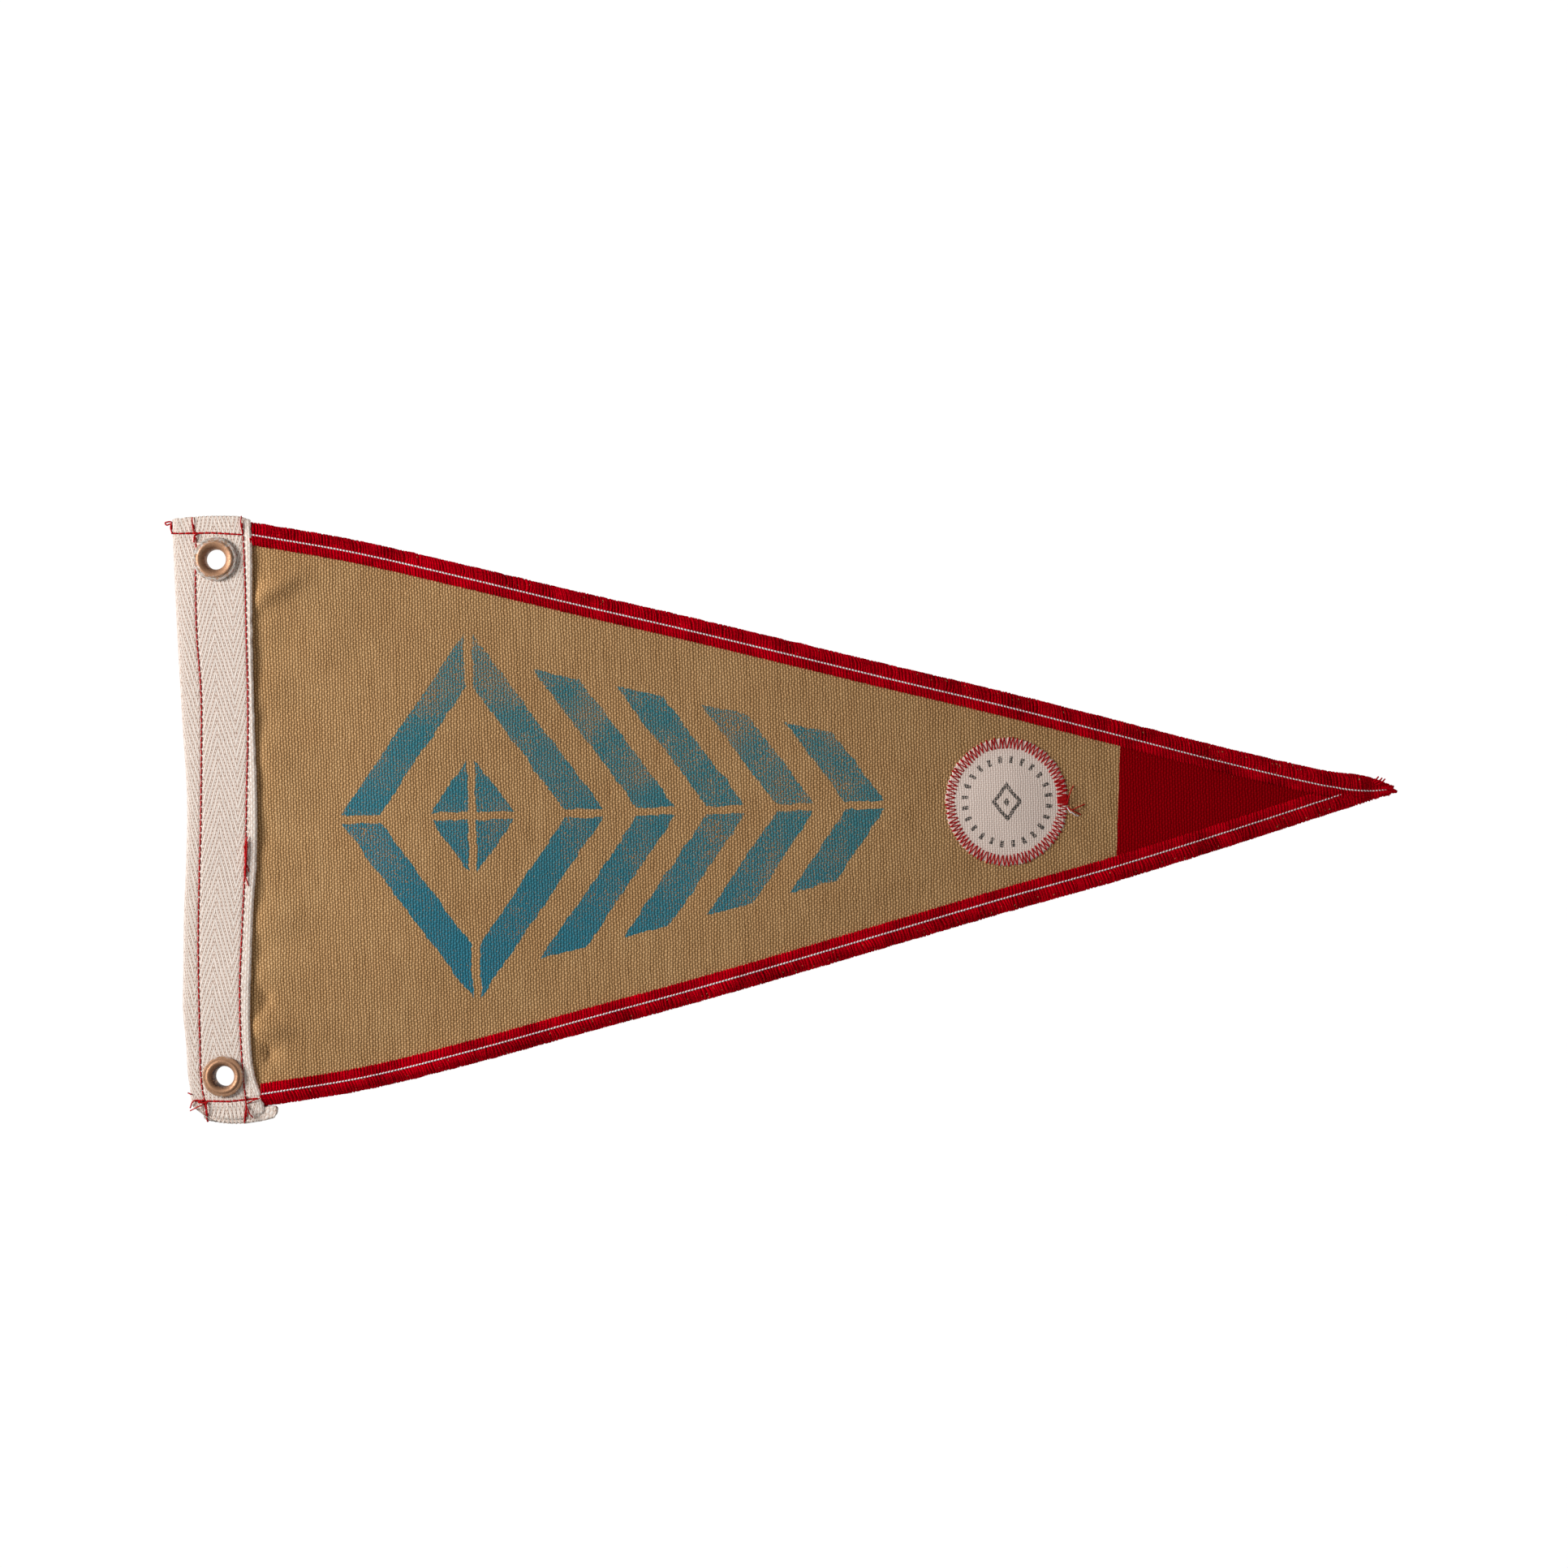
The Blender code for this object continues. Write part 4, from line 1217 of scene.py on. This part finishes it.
def lockstitch(path, start, end, face, weight=1.0):
    """Stitches along a path; path(distance) gives x and y, and weight thickens the thread."""
    routes = []
    for i in range(int((end - start) / SEAM_STITCH)):
        first = start + i * SEAM_STITCH + 0.12
        length = SEAM_STITCH - (0.18 if weight == 1.0 else 0.05) + rng.uniform(-0.14, 0.10)
        skew = rng.uniform(-0.2, 0.2)
        route = []
        for share, rise in STITCH_RISE:
            x, y = path(first + length * share)
            x += skew * (share - 0.5)
            fat = weight * (0.7 if rise < 0 else 1.0)
            route.append((x, y + skew * (share - 0.5) * 0.4, tape_top(x, y, face) + face * rise, fat))
        routes.append(route)
    return routes


def clear_of_flange(route):
    """True unless the stitch lies under a grommet's flange."""
    x, y, *_ = route[len(route) // 2]
    return all(math.hypot(x - g.x, y - g.y) > g.flange_radius - 0.2 for g in GROMMETS)


seam_routes = []
for face in (1, -1):
    for line in (first_seam, second_seam):
        seam_routes += lockstitch(lambda d, line=line: (line(d), d), -112.6, 112.6, face)
    for spots in END_SEAMS.values():
        start, end = spots[0][0] + 0.3, spots[2][0] - 0.2
        seam_routes += lockstitch(lambda d, spots=spots: (d, seam_y(spots, d)), start, end, face, 1.5)
seam_routes = [route for route in seam_routes if clear_of_flange(route)]
header_seams = lay_threads("header_seams", seam_routes, SEAM_THREAD, seam_finish)

# %% [markdown]
# ## Patch
#
# The patch is a disc of cotton laid on the canvas. Its edge is raw and is held by a zigzag
# that steps over it, one side in the patch and the other in the canvas.

# %% Cut and lay the patch
PATCH_RADIUS_X, PATCH_RADIUS_Y = 22.8, 23.8
PATCH_THICKNESS = 0.8
PATCH_CLOTH = 0.30
ZIGS = 84
ZIGZAG_THREAD = 0.48


def patch_surface(x, y):
    """Height of the patch's face, drawn down towards its sewn edge."""
    share = math.hypot((x - PATCH_X) / PATCH_RADIUS_X, (y - PATCH_Y) / PATCH_RADIUS_Y)
    angle = math.atan2(y - PATCH_Y, x - PATCH_X)
    base = canvas_height(x, y) + HALF
    pull = smoothstep((share - 0.15) / 0.85)
    tuck = 0.06 * math.sin(angle * ZIGS) * smoothstep((share - 0.8) / 0.2)
    puff = 0.12 * drift(x, y, 8.0, 6.0)
    return base + PATCH_THICKNESS - 0.95 * pull + tuck + puff * (1 - pull)


def round_patch(angle, share):
    x = PATCH_X + PATCH_RADIUS_X * share * math.cos(angle)
    y = PATCH_Y + PATCH_RADIUS_Y * share * math.sin(angle)
    return x, y


def patch_point(column, row):
    """A disc from a grid: columns go round it, rows go out from its middle."""
    angle = 2 * math.pi * column / PATCH_COLUMNS
    share = (row / PATCH_ROWS) ** 0.8
    fray = 1.0 + 0.012 * math.sin(angle * ZIGS) * (row == PATCH_ROWS)
    fray += 0.018 * drift(6 * math.cos(angle), 6 * math.sin(angle), 1.0, 9.0) * share
    x, y = round_patch(angle, share * fray)
    return x, y, patch_surface(x, y)


PATCH_COLUMNS, PATCH_ROWS = 336, 22
patch = cloth_grid("patch_disc", PATCH_COLUMNS, PATCH_ROWS, patch_point)
only(patch)
weld(1e-7)
apply_modifier(patch, "SOLIDIFY", thickness=PATCH_CLOTH * MM, offset=-1.0)
patch.data.materials.append(patch_finish)
only(patch)
bpy.ops.object.shade_smooth()
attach(patch, "root")
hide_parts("patch")

# %% Zigzag round the patch
ZIG_INNER, ZIG_OUTER = 0.835, 1.012


def zig_route(start, end, start_share, end_share):
    """One slanting stitch between an inner hole in the patch and an outer one in the canvas."""
    route = []
    for t in (0.0, 0.07, 0.25, 0.5, 0.75, 0.93, 1.0):
        share = start_share + (end_share - start_share) * t
        x, y = round_patch(start + (end - start) * t, share)
        over = smoothstep((1.03 - share) / 0.05)
        surface = patch_surface(x, y) if share < 1.0 else canvas_height(x, y) + 0.5
        hole = t in (0.0, 1.0)
        height = surface - 0.25 if hole else surface - 0.03 + 0.35 * (1 - over)
        route.append((x, y, height, 0.75 if hole else 1.0))
    return route


zig_routes = []
step = 2 * math.pi / ZIGS
for i in range(ZIGS + 6):
    angle = -0.10 + step * i * (0.999 if i < ZIGS else 1.0) + rng.uniform(-0.2, 0.2) * step
    inner = ZIG_INNER + 0.02 * drift(i, 0.0, 5.0, 1.0) + rng.uniform(-0.012, 0.012)
    outer = ZIG_OUTER + rng.uniform(-0.010, 0.014)
    middle = angle + 0.5 * step
    zig_routes.append(zig_route(angle, middle, inner, outer))
    zig_routes.append(zig_route(middle, angle + step, outer, inner))
for i in range(7):
    angle = -0.055 + 0.018 * i
    zig_routes.append(zig_route(angle, angle + 0.01, ZIG_INNER - 0.01, ZIG_OUTER + 0.008))


def on_the_back(route):
    """The same stitch on the canvas's back, where the bobbin thread shows."""
    ends = (0, len(route) - 1)
    return [
        (x, y, canvas_height(x, y) - CANVAS / 2 + (0.2 if i in ends else -0.12), fat)
        for i, (x, y, _, fat) in enumerate(route)
    ]


zig_routes += [on_the_back(route) for route in zig_routes]
zigzag = lay_threads("patch_zigzag", zig_routes, ZIGZAG_THREAD, seam_finish)

# %% [markdown]
# ## Loose ends
#
# Thread is snipped, not tied, so ends stand out at each corner and where a seam was started
# again. They are shorter than a cord, and each is a thin tube on a smooth line through a few
# listed points.

# %% Thread ends, by place
LooseEnd = namedtuple("LooseEnd", "thickness lift points")
RED_ENDS = [LooseEnd(*row) for row in (
    (0.6, 0.35, [(-226.9, 107.1), (-227.5, 109.4), (-227.2, 111.5), (-229.4, 111.3),
                 (-228.9, 110.4), (-227.3, 110.7), (-227.2, 108.4)]),
    (0.6, 0.5, [(-218.8, 103.6), (-218.4, 106.1), (-217.1, 107.0)]),
    (0.45, 0.4, [(-219.2, 113.0), (-219.1, 110.0), (-218.8, 107.4)]),
    (0.45, 0.4, [(-200.9, 113.0), (-201.1, 110.0), (-200.5, 106.2)]),
    (0.55, 0.5, [(-225.9, -107.1), (-224.6, -104.6), (-222.9, -104.2), (-220.1, -104.6)]),
    (0.6, 0.7, [(-220.6, -104.2), (-222.5, -104.9), (-219.2, -105.2), (-221.8, -104.3)]),
    (0.45, 0.9, [(-225.9, -108.1), (-223.2, -106.8), (-220.4, -105.7)]),
    (0.5, 0.3, [(-226.6, -101.4), (-225.0, -102.0)]),
    (0.5, 0.5, [(-219.8, -105.0), (-219.4, -108.0), (-219.6, -110.6)]),
    (0.5, 0.6, [(-205.2, -103.0), (-204.7, -106.7), (-205.2, -109.5), (-205.8, -113.2)]),
    (0.45, 0.8, [(-204.7, -106.7), (-203.7, -109.4), (-202.4, -111.3)]),
    (0.45, 0.5, [(-204.7, -106.7), (-204.8, -110.9)]),
    (0.45, 0.7, [(-199.7, -104.1), (-202.0, -104.7), (-204.4, -105.9)]),
    (0.5, 0.5, [(-201.9, -6.4), (-202.7, -9.3), (-202.9, -14.7), (-201.8, -19.6)]),
    (0.45, 0.7, [(-202.0, -8.1), (-202.7, -15.3), (-203.0, -20.8), (-202.1, -24.9)]),
    (0.5, 0.6, [(-203.3, -10.8), (-202.3, -9.0), (-202.5, -15.9), (-203.1, -21.4)]),
    (0.4, 0.9, [(104.0, -2.2), (105.1, 1.5), (106.7, 4.5)]),
    (0.4, 0.8, [(104.4, -3.4), (105.6, -4.6), (108.3, -3.5), (110.8, -2.6)]),
    (0.4, 0.6, [(104.4, -3.1), (105.6, -4.6), (109.2, -6.5)]),
)]
WHITE_ENDS = [LooseEnd(*row) for row in (
    (0.45, 0.7, [(104.1, -3.7), (105.2, -5.5), (105.8, -5.5), (106.9, -6.5), (108.2, -6.9)]),
)]
TIP_ENDS = [LooseEnd(*row) for row in (
    (1.0, 0.2, [(222.0, 0.6), (225.0, 0.1), (227.3, -1.0)]),
    (0.9, 0.1, [(221.0, -1.2), (224.8, -1.0), (227.2, -1.1)]),
    (0.6, 0.3, [(218.0, 2.6), (219.6, 3.9), (220.6, 4.9)]),
    (0.6, 0.5, [(218.8, 2.4), (220.8, 3.4), (221.9, 4.4)]),
    (0.6, 0.4, [(219.6, 1.8), (221.6, 2.7), (223.0, 4.0)]),
)]
END_STEPS = 5


def surface_height(x, y):
    """Height of whatever cloth lies on top here."""
    if x < front_x(y):
        return tape_top(x, y, 1) if x > fold_x(y) else header_level(y) + 0.6
    if math.hypot(x - PATCH_X, y - PATCH_Y) < PATCH_RADIUS_X:
        return patch_surface(x, y)
    return canvas_height(x, y) + CANVAS / 2


def loose_route(end):
    """A smooth line through the end's points, a little above the cloth."""
    count = len(end.points) - 1
    line_x, line_y = column_curves([(i, *point) for i, point in enumerate(end.points)])
    steps = count * END_STEPS
    route = []
    for i in range(steps + 1):
        x, y = line_x(i / END_STEPS), line_y(i / END_STEPS)
        arch = end.lift * math.sin(math.pi * min(i / steps + 0.15, 1.0)) ** 0.5
        height = surface_height(x, y) + end.thickness / 2 + arch
        route.append((x, y, height, 1.0 - 0.25 * (i == steps)))
    return route


for name, ends, finish in (
    ("loose_red_thread", RED_ENDS, seam_finish),
    ("loose_white_thread", WHITE_ENDS, needle_finish),
    ("tip_thread", TIP_ENDS, overlock_finish),
):
    for thickness in sorted({end.thickness for end in ends}):
        routes = [loose_route(end) for end in ends if end.thickness == thickness]
        tail = lay_threads(f"{name}_{round(thickness * 100)}", routes, thickness, finish)

# %% Canvas fibres caught in the overlock
FLECKS = 120


def fleck_route(side):
    """A short tan fibre poking out between the strands, mostly towards the tip."""
    x = side.start_x + (side.end_x - 8.0 - side.start_x) * rng.random() ** 0.7
    inset = needle_inset(side, x) * rng.uniform(0.12, 0.95)
    turn = rng.uniform(0, math.pi)
    route = []
    for share in (-0.5, 0.0, 0.5):
        along = x + 0.55 * share * math.cos(turn)
        at = inset + 0.7 * share * math.sin(turn)
        route.append((*edge_spot(side, along, at, bed_height(at, x) + 0.16 - 0.5 * share**2), 1.0))
    return route


for side in SIDES:
    routes = [fleck_route(side) for _ in range(FLECKS)]
    flecks = lay_threads(f"canvas_flecks_{side.name}", routes, 0.2, fleck_finish, sides=0)
